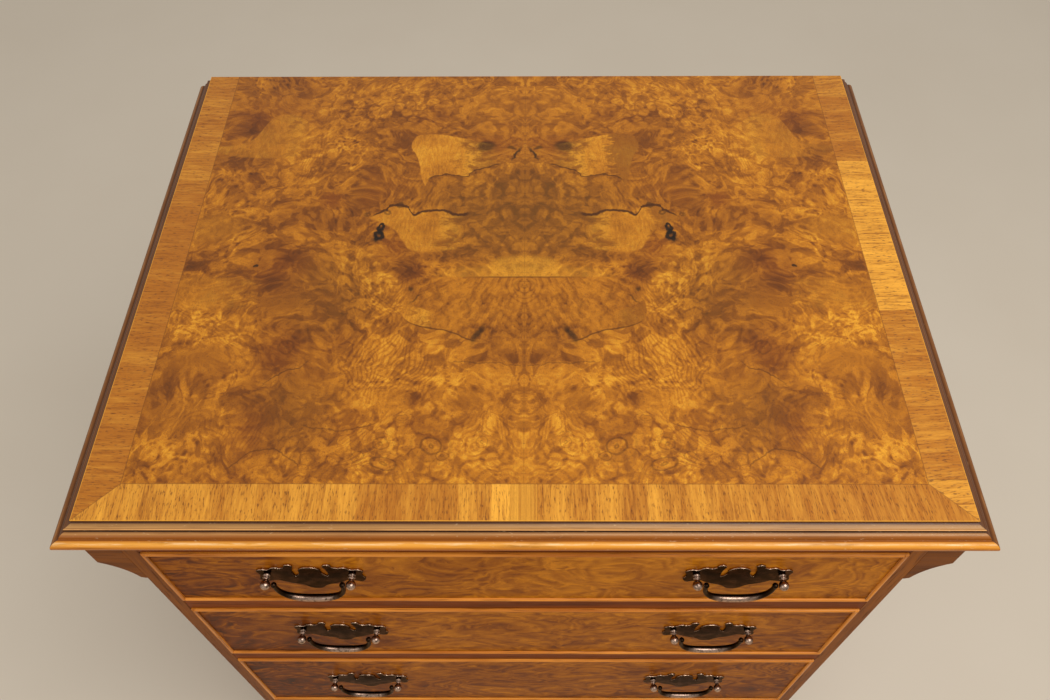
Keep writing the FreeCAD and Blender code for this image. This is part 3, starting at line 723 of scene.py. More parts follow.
@dataclass(frozen=True)
class StainedMoulding(Finish):
    """Edge moulding, stained dark and scuffed, with painted highlights on its arris and along the crest of
    its rounded foot and painted shade in its dark lines and on the upright step under its lip.

    Attributes:
        grain: The way that it runs.
        inner: Distance of its inner edge from the chest's middle.
        top: Height of the top's surface.
        steps: Its colours by the distance from its inner edge: the stain with painted highlights and painted
            shade in it.
        riser_shade: Painted shade on the upright step under its lip.
        riser_depths: Depths of that step's head and foot below the surface.
        crest: Distance of the rounded foot's crest from the inner edge.
        shade: Colour of the dark streaks.
        scuff_and_highlight: Colour of the scuffs and of the painted highlight along the crest.
        riser_face: Distances from the inner edge at which that step ends and fully shows.
        relief: Depth of its fine relief.
    """

    name: str
    grain: Grain
    inner: float
    top: float
    steps: tuple[tuple[float, Colour], ...]
    riser_shade: Colour
    riser_depths: tuple[float, float]
    crest: float
    shade: Colour
    scuff_and_highlight: Colour
    riser_face: tuple[float, float] = (0.0056, 0.0051)
    relief: float = 0.00012

    def lay(self, shader: Shader) -> None:
        """Build the steps of the section with their painted light and shade, the painted shade under the lip,
        the streaks, the scuffs and the painted highlight along the crest.

        Args:
            shader: The empty shader that it is built in.
        """
        x, y, z = shader.split(shader.place())
        along, across = (x, y) if self.grain is Grain.ACROSS else (y, x)
        wood = shader.drift(shader.join(along / 22.0, across, z), 40.0, 0.002)
        streaks = shader.noise(wood, 420.0, 4.0, 0.6)
        patches = shader.noise(shader.join(along / 3.0, across, z), 22.0, 3.0)
        wobble = (patches - 0.5) * 0.0006
        outward = abs(across) - self.inner + wobble
        span = self.steps[-1][0]
        body = shader.ramp(outward / span, [(place / span, colour) for place, colour in self.steps])
        down = self.top - z
        head, foot = self.riser_depths
        # Painted shade: the upright step under the lip is darkened.
        riser_shade = outward.rise(*self.riser_face) * down.rise(head, head + 0.0005)
        body = shader.mix(riser_shade * down.rise(foot + 0.0003, foot), body, self.riser_shade)
        shaded = streaks.rise(0.5, 0.25) * 0.5 + patches.rise(0.55, 0.3) * 0.15
        colour = shader.mix(shaded, body, self.shade)
        marks = shader.noise(shader.join(along / 3.0, across, z), 620.0, 3.0, 0.7).rise(0.62, 0.74)
        colour = shader.mix(marks * 0.3, colour, self.scuff_and_highlight)
        # Painted highlight: patches along the rounded foot's crest are lightened.
        crest = abs(outward - self.crest).rise(0.0012, 0.0002)
        crest_highlight_patches = shader.noise(shader.join(along / 9.0, across, z), 260.0, 4.0, 0.65).rise(0.44, 0.64)
        colour = shader.mix(crest * crest_highlight_patches * 0.6, colour, self.scuff_and_highlight)
        rough = 0.3 + (streaks - 0.5) * 0.16 + marks * 0.15
        shader.surface(colour, rough, streaks - marks * 0.5, self.relief, Polish.RUBBED.value)


@dataclass(frozen=True)
class Mark:
    """One soft mark of the burr's figure on the right-hand leaf; the left-hand leaf mirrors it.

    Attributes:
        across: Distance of its middle from the joint between the leaves.
        along: Place of its middle from front to back.
        half_width: Half its width.
        half_length: Half its length.
        edge: How far its edge fades, as a share of its size.
        turn: How far it is turned, in degrees.
        strength: How strongly it shows.
    """

    across: float
    along: float
    half_width: float
    half_length: float
    edge: float = 0.5
    turn: float = 0.0
    strength: float = 1.0

    def distance(self, shader: Shader, plan: Wire) -> Wire:
        """Measure how far each place is from the mark's middle.

        Args:
            shader: The shader.
            plan: The place on the right-hand leaf.

        Returns:
            The distance, 1 at the mark's edge.
        """
        cosine, sine = math.cos(math.radians(self.turn)), math.sin(math.radians(self.turn))
        wide = (cosine / self.half_width, sine / self.half_width, 0.0)
        long = (-sine / self.half_length, cosine / self.half_length, 0.0)
        middle = [self.across * axis[0] + self.along * axis[1] for axis in (wide, long)]
        turned = [shader.vector("DOT_PRODUCT", plan, axis, "Value") for axis in (wide, long)]
        return shader.vector("DISTANCE", shader.join(*turned), (*middle, 0.0), "Value")


@dataclass(frozen=True)
class Outline:
    """A smooth line over the right-hand leaf through a few (place, height) pairs, in order of place."""

    points: tuple[tuple[float, float], ...]

    def trace(self, shader: Shader, place: Wire) -> Wire:
        """Give the line's height at each place.

        Args:
            shader: The shader.
            place: Where along the line.

        Returns:
            The height, kept level past the line's ends.
        """
        start, end = self.points[0][0], self.points[-1][0]
        heights = [height for _, height in self.points]
        low, span = min(heights), max(heights) - min(heights)
        curve = [((point - start) / (end - start), (height - low) / span) for point, height in self.points]
        share = (place - start) / (end - start)
        return shader.add("ShaderNodeFloatCurve", {"curve": curve}, {"Value": share}) * span + low


@dataclass(frozen=True)
class Vein:
    """A dark line across the right-hand leaf."""

    line: Outline
    half_width: float
    strength: float


@dataclass(frozen=True)
class Patch:
    """A plain silky patch between two lines, closed by a third one that gives how far out it reaches.

    Attributes:
        top: Its rear edge, by the distance from the joint between the leaves.
        bottom: Its front edge, in the same way.
        outer: How far it reaches from the joint, by the place from front to back.
        fade: Distances from the joint at which it starts and is full.
        strength: How strongly it shows.
        soft: Half the width of its edge.
    """

    top: Outline
    bottom: Outline
    outer: Outline
    fade: tuple[float, float]
    strength: float
    soft: float = 0.0006


@dataclass(frozen=True)
class BurrWalnut(Finish):
    """Book-matched burr veneer: mottled clouds, contour lines, eyes and the marks of this pair of leaves.

    Attributes:
        ground: Five colours of the figure, from dark to light.
        plain: Colour of the plain patches.
        olive: Tint of the greenish places.
        umber: Colour of lines, rings and pores.
        russet: Tint of the reddish places.
        black: Colour of the knots.
        lens: The lens across the middle.
        olives: Greenish places.
        clouds: Dark places.
        russets: Reddish places.
        golds: Light places.
        plains: Plain silky patches.
        knots: Black knots.
        loops: Black rings by the knots.
        eyes: Ringed eyes.
        pebbled: Places with a pebbly figure.
        ropes: Places with slanting stripes.
        lined: Places with swirling lines.
        calms: Places with little figure.
        veins: Dark lines.
        fan_middle: Place, from front to back, that the lens's grain fans out from.
        eye_middle: Place, from front to back, of the lens's eye.
        relief: Depth of its fine relief.
    """

    name: str
    ground: tuple[Colour, ...]
    plain: Colour
    olive: Colour
    umber: Colour
    russet: Colour
    black: Colour
    lens: Patch
    olives: tuple[Mark, ...]
    clouds: tuple[Mark, ...]
    russets: tuple[Mark, ...]
    golds: tuple[Mark, ...]
    plains: tuple[Patch, ...]
    knots: tuple[Mark, ...]
    loops: tuple[Mark, ...]
    eyes: tuple[Mark, ...]
    pebbled: tuple[Mark, ...]
    ropes: tuple[Mark, ...]
    lined: tuple[Mark, ...]
    calms: tuple[Mark, ...]
    veins: tuple[Vein, ...]
    fan_middle: float = 0.035
    eye_middle: float = -0.02
    relief: float = 0.00006

    def lay(self, shader: Shader) -> None:
        """Build the ground figure, then lay the marks over it.

        Args:
            shader: The empty shader that it is built in.
        """
        x, y, _ = shader.split(shader.place())
        across = abs(x)
        plan = shader.join(across, y)
        near = shader.drift(plan, 38.0, 0.004, 3.0)
        ragged = shader.drift(plan, 130.0, 0.0035, 3.0)
        tone, lines = self._ground(shader, plan)
        tone = tone - self._blots(shader, self.clouds, near) * 0.22
        tone = tone + self._blots(shader, self.golds, near) * 0.12
        # Painted light: x * 0.1 paints the right-hand leaf lighter and the left-hand one darker.
        colour = shader.ramp(tone + x * 0.1, list(zip((0.14, 0.34, 0.5, 0.66, 0.86), self.ground)))
        blush = shader.noise(plan, 17.0, 3.0).rise(0.5, 0.7) * 0.35
        colour = shader.mix(self._blots(shader, self.russets, near).largest(blush) * 0.5, colour, self.russet)
        colour = shader.mix(self._blots(shader, self.olives, near) * 0.35, colour, self.olive)
        colour = self._lens(shader, colour, plan, ragged)
        colour = self._plain_patches(shader, colour, plan, ragged, x)
        colour = self._rings(shader, colour, plan, ragged)
        colour = self._veins(shader, colour, ragged)
        colour = shader.mix(self._blots(shader, self.knots, ragged) * 0.92, colour, self.black)
        pores = shader.noise(shader.drift(plan, 120.0, 0.002), 1300.0, 2.0)
        pits = pores.rise(0.57, 0.7)
        colour = shader.mix(pits * 0.5, colour, self.umber)
        joint = across.rise(0.0006, 0.0001)
        colour = shader.mix(joint * 0.2, colour, self.umber)
        rough = 0.38 + (lines - 0.5) * 0.1 + pits * 0.08
        shader.surface(colour, rough, lines * 0.4 - pits, self.relief, Polish.LACQUER.value)

    def _ground(self, shader: Shader, plan: Wire) -> tuple[Wire, Wire]:
        """Build the all-over figure.

        Args:
            shader: The shader.
            plan: The place on the right-hand leaf.

        Returns:
            The tone, from dark to light, and the swirling lines.
        """
        swirl = shader.drift(plan, 9.0, 0.035, 2.0)
        curl = shader.drift(swirl, 60.0, 0.005, 2.0)
        broad = shader.noise(swirl, 11.0, 2.0)
        mottle = shader.noise(curl, 52.0, 5.0, 0.62, 0.7)
        blotch = shader.noise(curl, 75.0, 2.0, 0.5, 1.2).rise(0.42, 0.58)
        fleck = shader.noise(curl, 230.0, 4.0, 0.68, 0.8)
        flow = shader.noise(swirl, 13.0, 3.0, 0.45)
        lines = (flow * 170.0 + mottle * 10.0).sine().rise(-0.2, 0.95)
        lined = self._blots(shader, self.lined, swirl)
        line_field = shader.noise(swirl, 12.0, 1.0).rise(0.45, 0.62) * 0.45 + lined * 0.4
        pips = shader.cells(curl, 150.0).rise(0.34, 0.1)
        pip_field = shader.noise(swirl, 22.0, 2.0).rise(0.5, 0.64)
        pebbles = shader.cells(shader.drift(plan, 75.0, 0.006, 3.0), 105.0)
        stir = 1.0 - (self._blots(shader, self.calms, swirl) * 0.65).largest(lined * 0.35)
        bent = shader.drift(plan, 26.0, 0.016, 2.0)
        right, back, _ = shader.split(bent)
        ropes = ((right * 0.9 + back * 0.35) * 1700.0 + mottle * 6.0).sine().rise(-0.2, 0.95)
        tone = (mottle - 0.5) * 0.68 + (blotch - 0.5) * 0.17 + (fleck - 0.5) * 0.34
        tone = (tone - pips * pip_field * 0.16) * stir + 0.53 + (broad - 0.5) * 0.46
        tone = tone - (lines - 0.4) * line_field * 0.14
        tone = tone - (pebbles.rise(0.44, 0.6) - 0.35) * self._blots(shader, self.pebbled, swirl) * 0.16
        return tone - (ropes - 0.4) * self._blots(shader, self.ropes, bent) * 0.1, lines

    @staticmethod
    def _blots(shader: Shader, marks: tuple[Mark, ...], plan: Wire) -> Wire:
        """Lay several marks over each other.

        Args:
            shader: The shader.
            marks: The marks.
            plan: The place on the right-hand leaf, a little ragged.

        Returns:
            How strongly each point is marked.
        """
        total = None
        for mark in marks:
            blot = mark.distance(shader, plan).rise(1 + mark.edge, 1 - mark.edge) * mark.strength
            total = blot if total is None else total.largest(blot)
        return total

    @staticmethod
    def _inside(shader: Shader, patch: Patch, near: tuple[Wire, Wire, Wire]) -> Wire:
        """Fill a patch.

        Args:
            shader: The shader.
            patch: The patch.
            near: The place on the right-hand leaf in three parts, a little ragged.

        Returns:
            1 inside the patch and 0 outside it.
        """
        across, along, _ = near
        under = (patch.top.trace(shader, across) - along).rise(-patch.soft, patch.soft)
        over = (along - patch.bottom.trace(shader, across)).rise(-patch.soft, patch.soft)
        within = (patch.outer.trace(shader, along) - across).rise(-patch.soft, patch.soft)
        return under * over * within * across.rise(*patch.fade)

    def _plain_patches(self, shader: Shader, colour: Wire, plan: Wire, ragged: Wire, side: Wire) -> Wire:
        """Lay the plain silky patches, breaking into flames towards the joint between the leaves.

        Args:
            shader: The shader.
            colour: The colour so far.
            plan: The place on the right-hand leaf.
            ragged: The same place, finely ragged.
            side: Place across the chest, which tells the leaves apart.

        Returns:
            The colour with the patches.
        """
        across, along, _ = shader.split(plan)
        fibre = shader.noise(shader.drift(shader.join(across, along * 0.3), 40.0, 0.008), 420.0, 4.0, 0.7)
        sheen = shader.noise(plan, 34.0, 2.0)
        silk = shader.ramp(
            0.5 + (fibre - 0.5) * 0.9 + (sheen - 0.5) * 0.9,
            [(0.2, self.ground[2]), (0.5, self.plain), (0.8, self.ground[4])],
        )
        blown = shader.drift(shader.join(across * 0.6, along), 60.0, 0.01, 2.0)
        flames = shader.noise(blown, 130.0, 4.0, 0.65)
        flame = shader.mix(flames.rise(0.38, 0.62), self.ground[1], self.ground[4])
        on_right = side.rise(0.0, 0.0001)
        drawn = shader.split(shader.mix_places(0.2, plan, ragged))
        for patch in self.plains:
            inner, outer = patch.fade[1], max(height for _, height in patch.outer.points)
            flicker = across + (flames - 0.5) * 0.05
            wood = shader.mix(flicker.rise(inner + 0.014, inner - 0.004) * 0.8, silk, flame)
            shaded = on_right * flicker.rise(outer - 0.03, outer - 0.024) * 0.7
            wood = shader.mix(shaded, wood, self.ground[1])
            colour = shader.mix(self._inside(shader, patch, drawn) * patch.strength, colour, wood)
        return colour

    def _lens(self, shader: Shader, colour: Wire, plan: Wire, ragged: Wire) -> Wire:
        """Lay the lens across the middle, with grain that fans out and arcs round its eye, and a pale strip.

        The strip runs along the lens's straight edge.

        Args:
            shader: The shader.
            colour: The colour so far.
            plan: The place on the right-hand leaf.
            ragged: The same place, finely ragged.

        Returns:
            The colour with the lens.
        """
        across, along, _ = shader.split(plan)
        torn_across, torn_along, _ = shader.split(ragged)
        drawn = shader.split(shader.mix_places(0.3, plan, ragged))
        inside = self._inside(shader, self.lens, drawn)
        hub = shader.drift(plan, 26.0, 0.009, 2.0)
        hub_across, hub_along, _ = shader.split(hub)
        fan = across.maths("ARCTAN2", hub_along - self.fan_middle, hub_across)
        reach = (hub_across**2.0 + (hub_along - self.eye_middle) ** 2.0) ** 0.5
        rays = shader.noise(shader.join(fan * 0.12, reach * 0.3), 170.0, 3.0, 0.55)
        mottle = shader.noise(hub, 150.0, 4.0, 0.65, 0.6)
        arcs = (reach * 900.0 + rays * 16.0).sine().rise(0.1, 0.98) * reach.rise(0.014, 0.03) * 0.5
        rings = (reach * 1500.0 + mottle * 4.0).sine().rise(0.0, 0.95) * reach.rise(0.022, 0.014)
        cloud = shader.noise(hub, 24.0, 2.0)
        tone = 0.62 + (rays - 0.5) * 0.9 + (mottle - 0.5) * 0.9 + (cloud - 0.5) * 0.9
        tone = tone - arcs.largest(rings) * 0.18
        wood = shader.ramp(tone, list(zip((0.16, 0.36, 0.55, 0.8), self.ground)))
        colour = shader.mix(inside * 0.85, colour, wood)
        straight = self.lens.top.points[0][1]
        above = along.rise(straight - 0.0003, straight + 0.0003)
        low = (torn_along + across * across * 1.2).rise(0.006, -0.002) * torn_across.rise(0.085, 0.05) * 0.25
        high = (torn_along + across * across * 9.0).rise(0.016, 0.008) * torn_across.rise(0.032, 0.026) * 0.5
        strip = above * low.largest(high)
        glow = shader.noise(shader.join(torn_across, torn_along * 0.6), 170.0, 4.0, 0.65).rise(0.25, 0.7)
        colour = shader.mix(strip * (glow * 0.9 + 0.35), colour, self.ground[4])
        edge = abs(along - straight).rise(0.001, 0.0003) * across.rise(0.06, 0.02) * 0.6
        floor = self.lens.bottom.trace(shader, drawn[0])
        lip = abs(drawn[1] - floor).rise(0.0012, 0.0003) * across.rise(0.03, 0.045) * across.rise(0.097, 0.09)
        return shader.mix(edge.largest(lip * 0.7), colour, self.umber)

    def _rings(self, shader: Shader, colour: Wire, plan: Wire, ragged: Wire) -> Wire:
        """Lay the eyes, each with thin rings, and the black loops of the knots.

        Args:
            shader: The shader.
            colour: The colour so far.
            plan: The place on the right-hand leaf.
            ragged: The same place, finely ragged.

        Returns:
            The colour with the rings.
        """
        near = shader.drift(plan, 60.0, 0.0045, 3.0)
        for mark in self.eyes:
            distance = mark.distance(shader, near)
            rings = (distance * 11.0).sine().rise(0.3, 0.98) * distance.rise(1.7, 0.7)
            colour = shader.mix(rings * mark.strength * 0.45, colour, self.umber)
        for mark in self.loops:
            loop = abs(mark.distance(shader, ragged) - 0.7).rise(0.55, 0.2)
            colour = shader.mix(loop * mark.strength, colour, self.black)
        return colour

    def _veins(self, shader: Shader, colour: Wire, ragged: Wire) -> Wire:
        """Lay the dark lines, drawn thick and thin.

        Args:
            shader: The shader.
            colour: The colour so far.
            ragged: The place on the right-hand leaf, finely ragged.

        Returns:
            The colour with the lines.
        """
        across, along, _ = shader.split(ragged)
        weight = shader.noise(ragged, 110.0, 2.0) * 1.6 + 0.2
        for vein in self.veins:
            start, end = vein.line.points[0][0], vein.line.points[-1][0]
            taper = (end - start) * 0.08
            within = across.rise(start, start + taper) * across.rise(end, end - taper)
            away = abs(along - vein.line.trace(shader, across)) / weight
            drawn = away.rise(vein.half_width * 1.4, vein.half_width * 0.6)
            colour = shader.mix(drawn * within * vein.strength, colour, self.umber)
        return colour


EYE_VEIN = Outline(
    (
        (0.045, 0.0605),
        (0.060, 0.0595),
        (0.068, 0.0645),
        (0.083, 0.0645),
        (0.095, 0.0600),
        (0.101, 0.0685),
        (0.115, 0.0705),
        (0.119, 0.0660),
        (0.134, 0.0565),
    )
)

BURR = BurrWalnut(
    name="burr_walnut_leaf",
    ground=(
        paint(86, 44, 10),
        paint(122, 66, 14),
        paint(155, 90, 18),
        paint(190, 117, 24),
        paint(230, 159, 42),
    ),
    plain=paint(200, 126, 27),
    olive=paint(140, 90, 22),
    umber=paint(74, 38, 10),
    russet=paint(120, 54, 12),
    black=paint(24, 16, 6),
    lens=Patch(
        top=Outline(((0.0, -0.0110), (0.1, -0.0111))),
        bottom=Outline(
            (
                (0.0, -0.0780),
                (0.038, -0.0755),
                (0.059, -0.0663),
                (0.083, -0.0610),
                (0.093, -0.0556),
                (0.098, -0.0440),
            )
        ),
        outer=Outline(((-0.06, 0.0960), (-0.044, 0.0975), (-0.03, 0.0930), (-0.011, 0.0880))),
        fade=(-0.002, -0.001),
        strength=1.0,
    ),
    olives=(
        Mark(0.0, 0.06, 0.085, 0.06, 0.6),
        Mark(0.0, -0.045, 0.09, 0.03, 0.5, 0.0, 0.5),
        Mark(0.15, -0.02, 0.04, 0.04, 0.7, 0.0, 0.7),
        Mark(0.265, 0.045, 0.03, 0.014, 0.7, 0.0, 0.6),
        Mark(0.17, -0.14, 0.03, 0.03, 0.7, 0.0, 0.5),
    ),
    clouds=(
        Mark(0.0, 0.075, 0.075, 0.04, 0.8, 0.0, 0.6),
        Mark(0.06, 0.015, 0.03, 0.006, 0.7, -8.0, 0.7),
        Mark(0.098, -0.002, 0.012, 0.010, 0.7, 0.0, 1.7),
        Mark(0.195, 0.007, 0.013, 0.009, 0.8, -30.0, 1.1),
        Mark(0.204, -0.016, 0.010, 0.012, 0.9, 0.0, 0.7),
        Mark(0.174, -0.071, 0.013, 0.009, 0.8, -35.0, 1.1),
        Mark(0.186, -0.085, 0.012, 0.018, 0.9, 0.0, 0.6),
        Mark(0.150, -0.035, 0.02, 0.03, 0.9, 15.0, 0.6),
        Mark(0.145, 0.045, 0.04, 0.014, 0.9, 25.0, 0.5),
        Mark(0.208, -0.128, 0.012, 0.006, 0.9, 20.0, 0.8),
        Mark(0.182, -0.145, 0.02, 0.022, 0.9, 40.0, 0.7),
        Mark(0.270, 0.002, 0.018, 0.006, 0.9, 5.0, 0.9),
        Mark(0.250, 0.135, 0.03, 0.012, 0.9, 10.0, 0.4),
        Mark(0.255, 0.172, 0.03, 0.014, 0.7, 40.0, 0.8),
        Mark(0.120, 0.185, 0.045, 0.02, 0.9, 0.0, 0.4),
        Mark(0.080, -0.128, 0.008, 0.006, 0.9, -30.0, 0.8),
        Mark(0.014, -0.092, 0.022, 0.006, 0.8, 0.0, 0.8),
        Mark(0.185, -0.03, 0.05, 0.05, 0.9, 0.0, 0.3),
        Mark(0.170, -0.135, 0.04, 0.03, 0.9, 0.0, 0.35),
        Mark(0.012, -0.160, 0.004, 0.036, 0.9, 0.0, 0.5),
    ),
    russets=(
        Mark(0.170, 0.077, 0.010, 0.008, 0.8, 0.0, 1.0),
        Mark(0.200, 0.0, 0.022, 0.018, 0.9, 0.0, 0.6),
        Mark(0.111, 0.018, 0.010, 0.016, 0.8, 25.0, 0.9),
        Mark(0.19, -0.085, 0.016, 0.018, 0.9, 0.0, 0.6),
        Mark(0.02, 0.145, 0.03, 0.012, 0.8, 0.0, 0.8),
        Mark(0.24, 0.19, 0.04, 0.02, 0.9, 0.0, 0.6),
        Mark(0.198, -0.155, 0.014, 0.02, 0.9, 20.0, 0.7),
    ),
    golds=(
        Mark(0.0, -0.15, 0.14, 0.05, 0.8, 0.0, 0.9),
        Mark(0.1, 0.2, 0.2, 0.03, 0.9, 0.0, 0.5),
        Mark(0.055, -0.09, 0.04, 0.012, 0.6, 12.0, 0.9),
        Mark(0.0, -0.160, 0.006, 0.036, 0.9, 0.0, 0.9),
        Mark(0.24, -0.06, 0.05, 0.02, 0.8, 0.0, 0.7),
        Mark(0.225, 0.155, 0.03, 0.03, 0.8, 0.0, 0.8),
        Mark(0.255, 0.05, 0.03, 0.03, 0.8, 0.0, 0.5),
        Mark(0.06, 0.21, 0.05, 0.02, 0.8, 0.0, 0.4),
    ),
    plains=(
        Patch(
            top=Outline(((0.03, 0.1480), (0.0485, 0.1530), (0.065, 0.1580), (0.08, 0.1612), (0.11, 0.1614))),
            bottom=Outline(
                (
                    (0.024, 0.1210),
                    (0.045, 0.1140),
                    (0.053, 0.1055),
                    (0.065, 0.1085),
                    (0.082, 0.1055),
                    (0.088, 0.0930),
                )
            ),
            outer=Outline(
                (
                    (0.09, 0.0836),
                    (0.104, 0.0925),
                    (0.120, 0.0950),
                    (0.133, 0.0989),
                    (0.147, 0.1043),
                    (0.156, 0.1020),
                    (0.1614, 0.0925),
                )
            ),
            fade=(0.022, 0.05),
            strength=0.9,
        ),
        Patch(
            top=EYE_VEIN,
            bottom=Outline(
                ((0.06, 0.0190), (0.094, 0.0180), (0.103, 0.0281), (0.113, 0.0430), (0.134, 0.0545))
            ),
            outer=Outline(((0.018, 0.1335), (0.07, 0.1345))),
            fade=(0.05, 0.066),
            strength=0.65,
            soft=0.0014,
        ),
        Patch(
            top=Outline(((0.07, -0.0480), (0.085, -0.0420), (0.098, -0.0330))),
            bottom=Outline(((0.07, -0.0620), (0.083, -0.0605), (0.093, -0.0556), (0.098, -0.0440))),
            outer=Outline(((-0.06, 0.0960), (-0.044, 0.0975), (-0.03, 0.0930))),
            fade=(0.07, 0.08),
            strength=0.75,
        ),
        Patch(
            top=Outline(((0.2, 0.1500), (0.228, 0.1900), (0.256, 0.1515), (0.284, 0.1450))),
            bottom=Outline(((0.2, 0.1400), (0.23, 0.1300), (0.284, 0.1400))),
            outer=Outline(((0.12, 0.2860), (0.2, 0.2861))),
            fade=(0.2, 0.215),
            strength=0.5,
            soft=0.0016,
        ),
        Patch(
            top=Outline(((0.2, -0.0200), (0.234, -0.0130), (0.284, -0.0100))),
            bottom=Outline(((0.2, -0.0300), (0.224, -0.0420), (0.284, -0.0430))),
            outer=Outline(((-0.05, 0.2860), (0.0, 0.2861))),
            fade=(0.21, 0.235),
            strength=0.3,
            soft=0.003,
        ),
    ),
    knots=(
        Mark(0.036, 0.1455, 0.0088, 0.0066, 0.35, -20.0, 0.7),
        Mark(0.0078, 0.136, 0.0014, 0.009, 0.6, 24.0, 0.9),
        Mark(0.012, 0.1435, 0.004, 0.0014, 0.6, 10.0, 0.7),
        Mark(0.1265, 0.031, 0.003, 0.004, 0.5, -25.0, 0.95),
        Mark(0.1232, 0.039, 0.0022, 0.006, 0.6, 15.0, 0.9),
        Mark(0.0925, -0.0235, 0.002, 0.0024, 0.6, 0.0, 0.75),
        Mark(0.0885, -0.034, 0.0009, 0.006, 0.6, 40.0, 0.6),
        Mark(0.2228, 0.002, 0.0014, 0.0014, 0.4, 0.0, 0.95),
        Mark(0.0365, -0.068, 0.0028, 0.009, 0.6, 28.0, 0.8),
    ),
    loops=(
        Mark(0.1228, 0.0443, 0.0034, 0.0046, strength=0.95),
        Mark(0.1244, 0.0345, 0.0040, 0.0056, strength=0.95),
        Mark(0.1085, 0.0705, 0.0042, 0.0030, strength=0.6),
        Mark(0.1190, 0.0625, 0.0030, 0.0034, strength=0.5),
        Mark(0.1365, 0.0595, 0.0024, 0.0026, strength=0.4),
    ),
    eyes=(
        Mark(0.067, -0.1685, 0.0115, 0.0105, strength=1.0),
        Mark(0.0585, -0.177, 0.006, 0.005, strength=0.9),
        Mark(0.0995, -0.182, 0.013, 0.0075, turn=12.0, strength=0.9),
        Mark(0.103, -0.166, 0.008, 0.006, strength=0.8),
        Mark(0.090, -0.1445, 0.006, 0.004, strength=0.7),
        Mark(0.119, -0.177, 0.007, 0.006, strength=0.7),
        Mark(0.03, -0.165, 0.006, 0.006, strength=0.6),
        Mark(0.155, -0.18, 0.008, 0.006, strength=0.5),
        Mark(0.185, -0.081, 0.009, 0.009, strength=0.7),
        Mark(0.0, -0.0205, 0.012, 0.008, strength=0.6),
        Mark(0.028, 0.009, 0.006, 0.005, strength=0.6),
    ),
    pebbled=(
        Mark(0.0, 0.06, 0.08, 0.05, 0.4),
        Mark(0.09, -0.165, 0.09, 0.03, 0.5),
        Mark(0.14, -0.03, 0.03, 0.05, 0.6),
        Mark(0.12, 0.2, 0.09, 0.03, 0.6),
    ),
    ropes=(
        Mark(0.108, -0.095, 0.03, 0.034, 0.4, 15.0),
        Mark(0.078, -0.11, 0.010, 0.024, 0.5, 0.0, 0.9),
        Mark(0.2, -0.155, 0.014, 0.018, 0.6, 20.0, 0.8),
        Mark(0.1, 0.09, 0.02, 0.03, 0.6, 0.0, 0.5),
        Mark(0.105, -0.035, 0.014, 0.024, 0.6, 0.0, 0.6),
    ),
    lined=(
        Mark(0.07, -0.165, 0.09, 0.03, 0.5),
        Mark(0.17, -0.15, 0.04, 0.035, 0.6, 0.0, 0.8),
        Mark(0.16, -0.1, 0.05, 0.03, 0.6, 0.0, 0.8),
        Mark(0.14, -0.03, 0.02, 0.03, 0.7, 0.0, 0.5),
    ),
    calms=(
        Mark(0.250, -0.105, 0.032, 0.014, 0.4, 0.0),
        Mark(0.262, -0.027, 0.036, 0.014, 0.5, 5.0, 0.9),
        Mark(0.262, -0.140, 0.034, 0.010, 0.5, 8.0, 0.8),
        Mark(0.235, 0.155, 0.028, 0.02, 0.5, 30.0, 0.8),
        Mark(0.1, -0.125, 0.02, 0.012, 0.6, 0.0, 0.6),
        Mark(0.262, 0.05, 0.02, 0.02, 0.5, 0.0, 0.8),
        Mark(0.2, -0.044, 0.011, 0.010, 0.4, 0.0, 0.9),
        Mark(0.06, -0.165, 0.12, 0.04, 0.5, 0.0, 0.3),
        Mark(0.12, 0.2, 0.18, 0.04, 0.5, 0.0, 0.3),
    ),
    veins=(
        Vein(EYE_VEIN, 0.0015, 0.95),
        Vein(
            Outline(
                (
                    (0.02, 0.1220),
                    (0.045, 0.1140),
                    (0.053, 0.1055),
                    (0.065, 0.1085),
                    (0.082, 0.1055),
                    (0.09, 0.0950),
                )
            ),
            0.0008,
            0.75,
        ),
        Vein(
            Outline(
                ((0.106, -0.1420), (0.115, -0.1520), (0.131, -0.1550), (0.153, -0.1529), (0.165, -0.1500))
            ),
            0.0006,
            0.45,
        ),
        Vein(
            Outline(
                ((0.157, -0.1950), (0.165, -0.1800), (0.187, -0.1713), (0.207, -0.1839), (0.212, -0.1870))
            ),
            0.0007,
            0.5,
        ),
        Vein(Outline(((0.0, -0.0990), (0.03, -0.0960), (0.06, -0.0950))), 0.0006, 0.4),
        Vein(Outline(((0.165, -0.0930), (0.172, -0.1000), (0.186, -0.1060), (0.2, -0.1200))), 0.0006, 0.6),
    ),
)

CROSSBAND = Crossband(
    name="crossband_veneer",
    half_width=TOP_HALF,
    front=VENEER_FRONT,
    band=BAND,
    piece_length=0.13,
    front_lengths=((-0.115, -0.022, -0.1), (-0.022, 0.065, 0.05)),
    right_lengths=((-0.0455, 0.125, 0.225),),
    corner_joint=-0.195,
    dark=paint(172, 102, 26),
    light=paint(244, 172, 58),
    thread=paint(138, 76, 18),
    pore=paint(92, 48, 14),
    seam=paint(70, 34, 10),
)

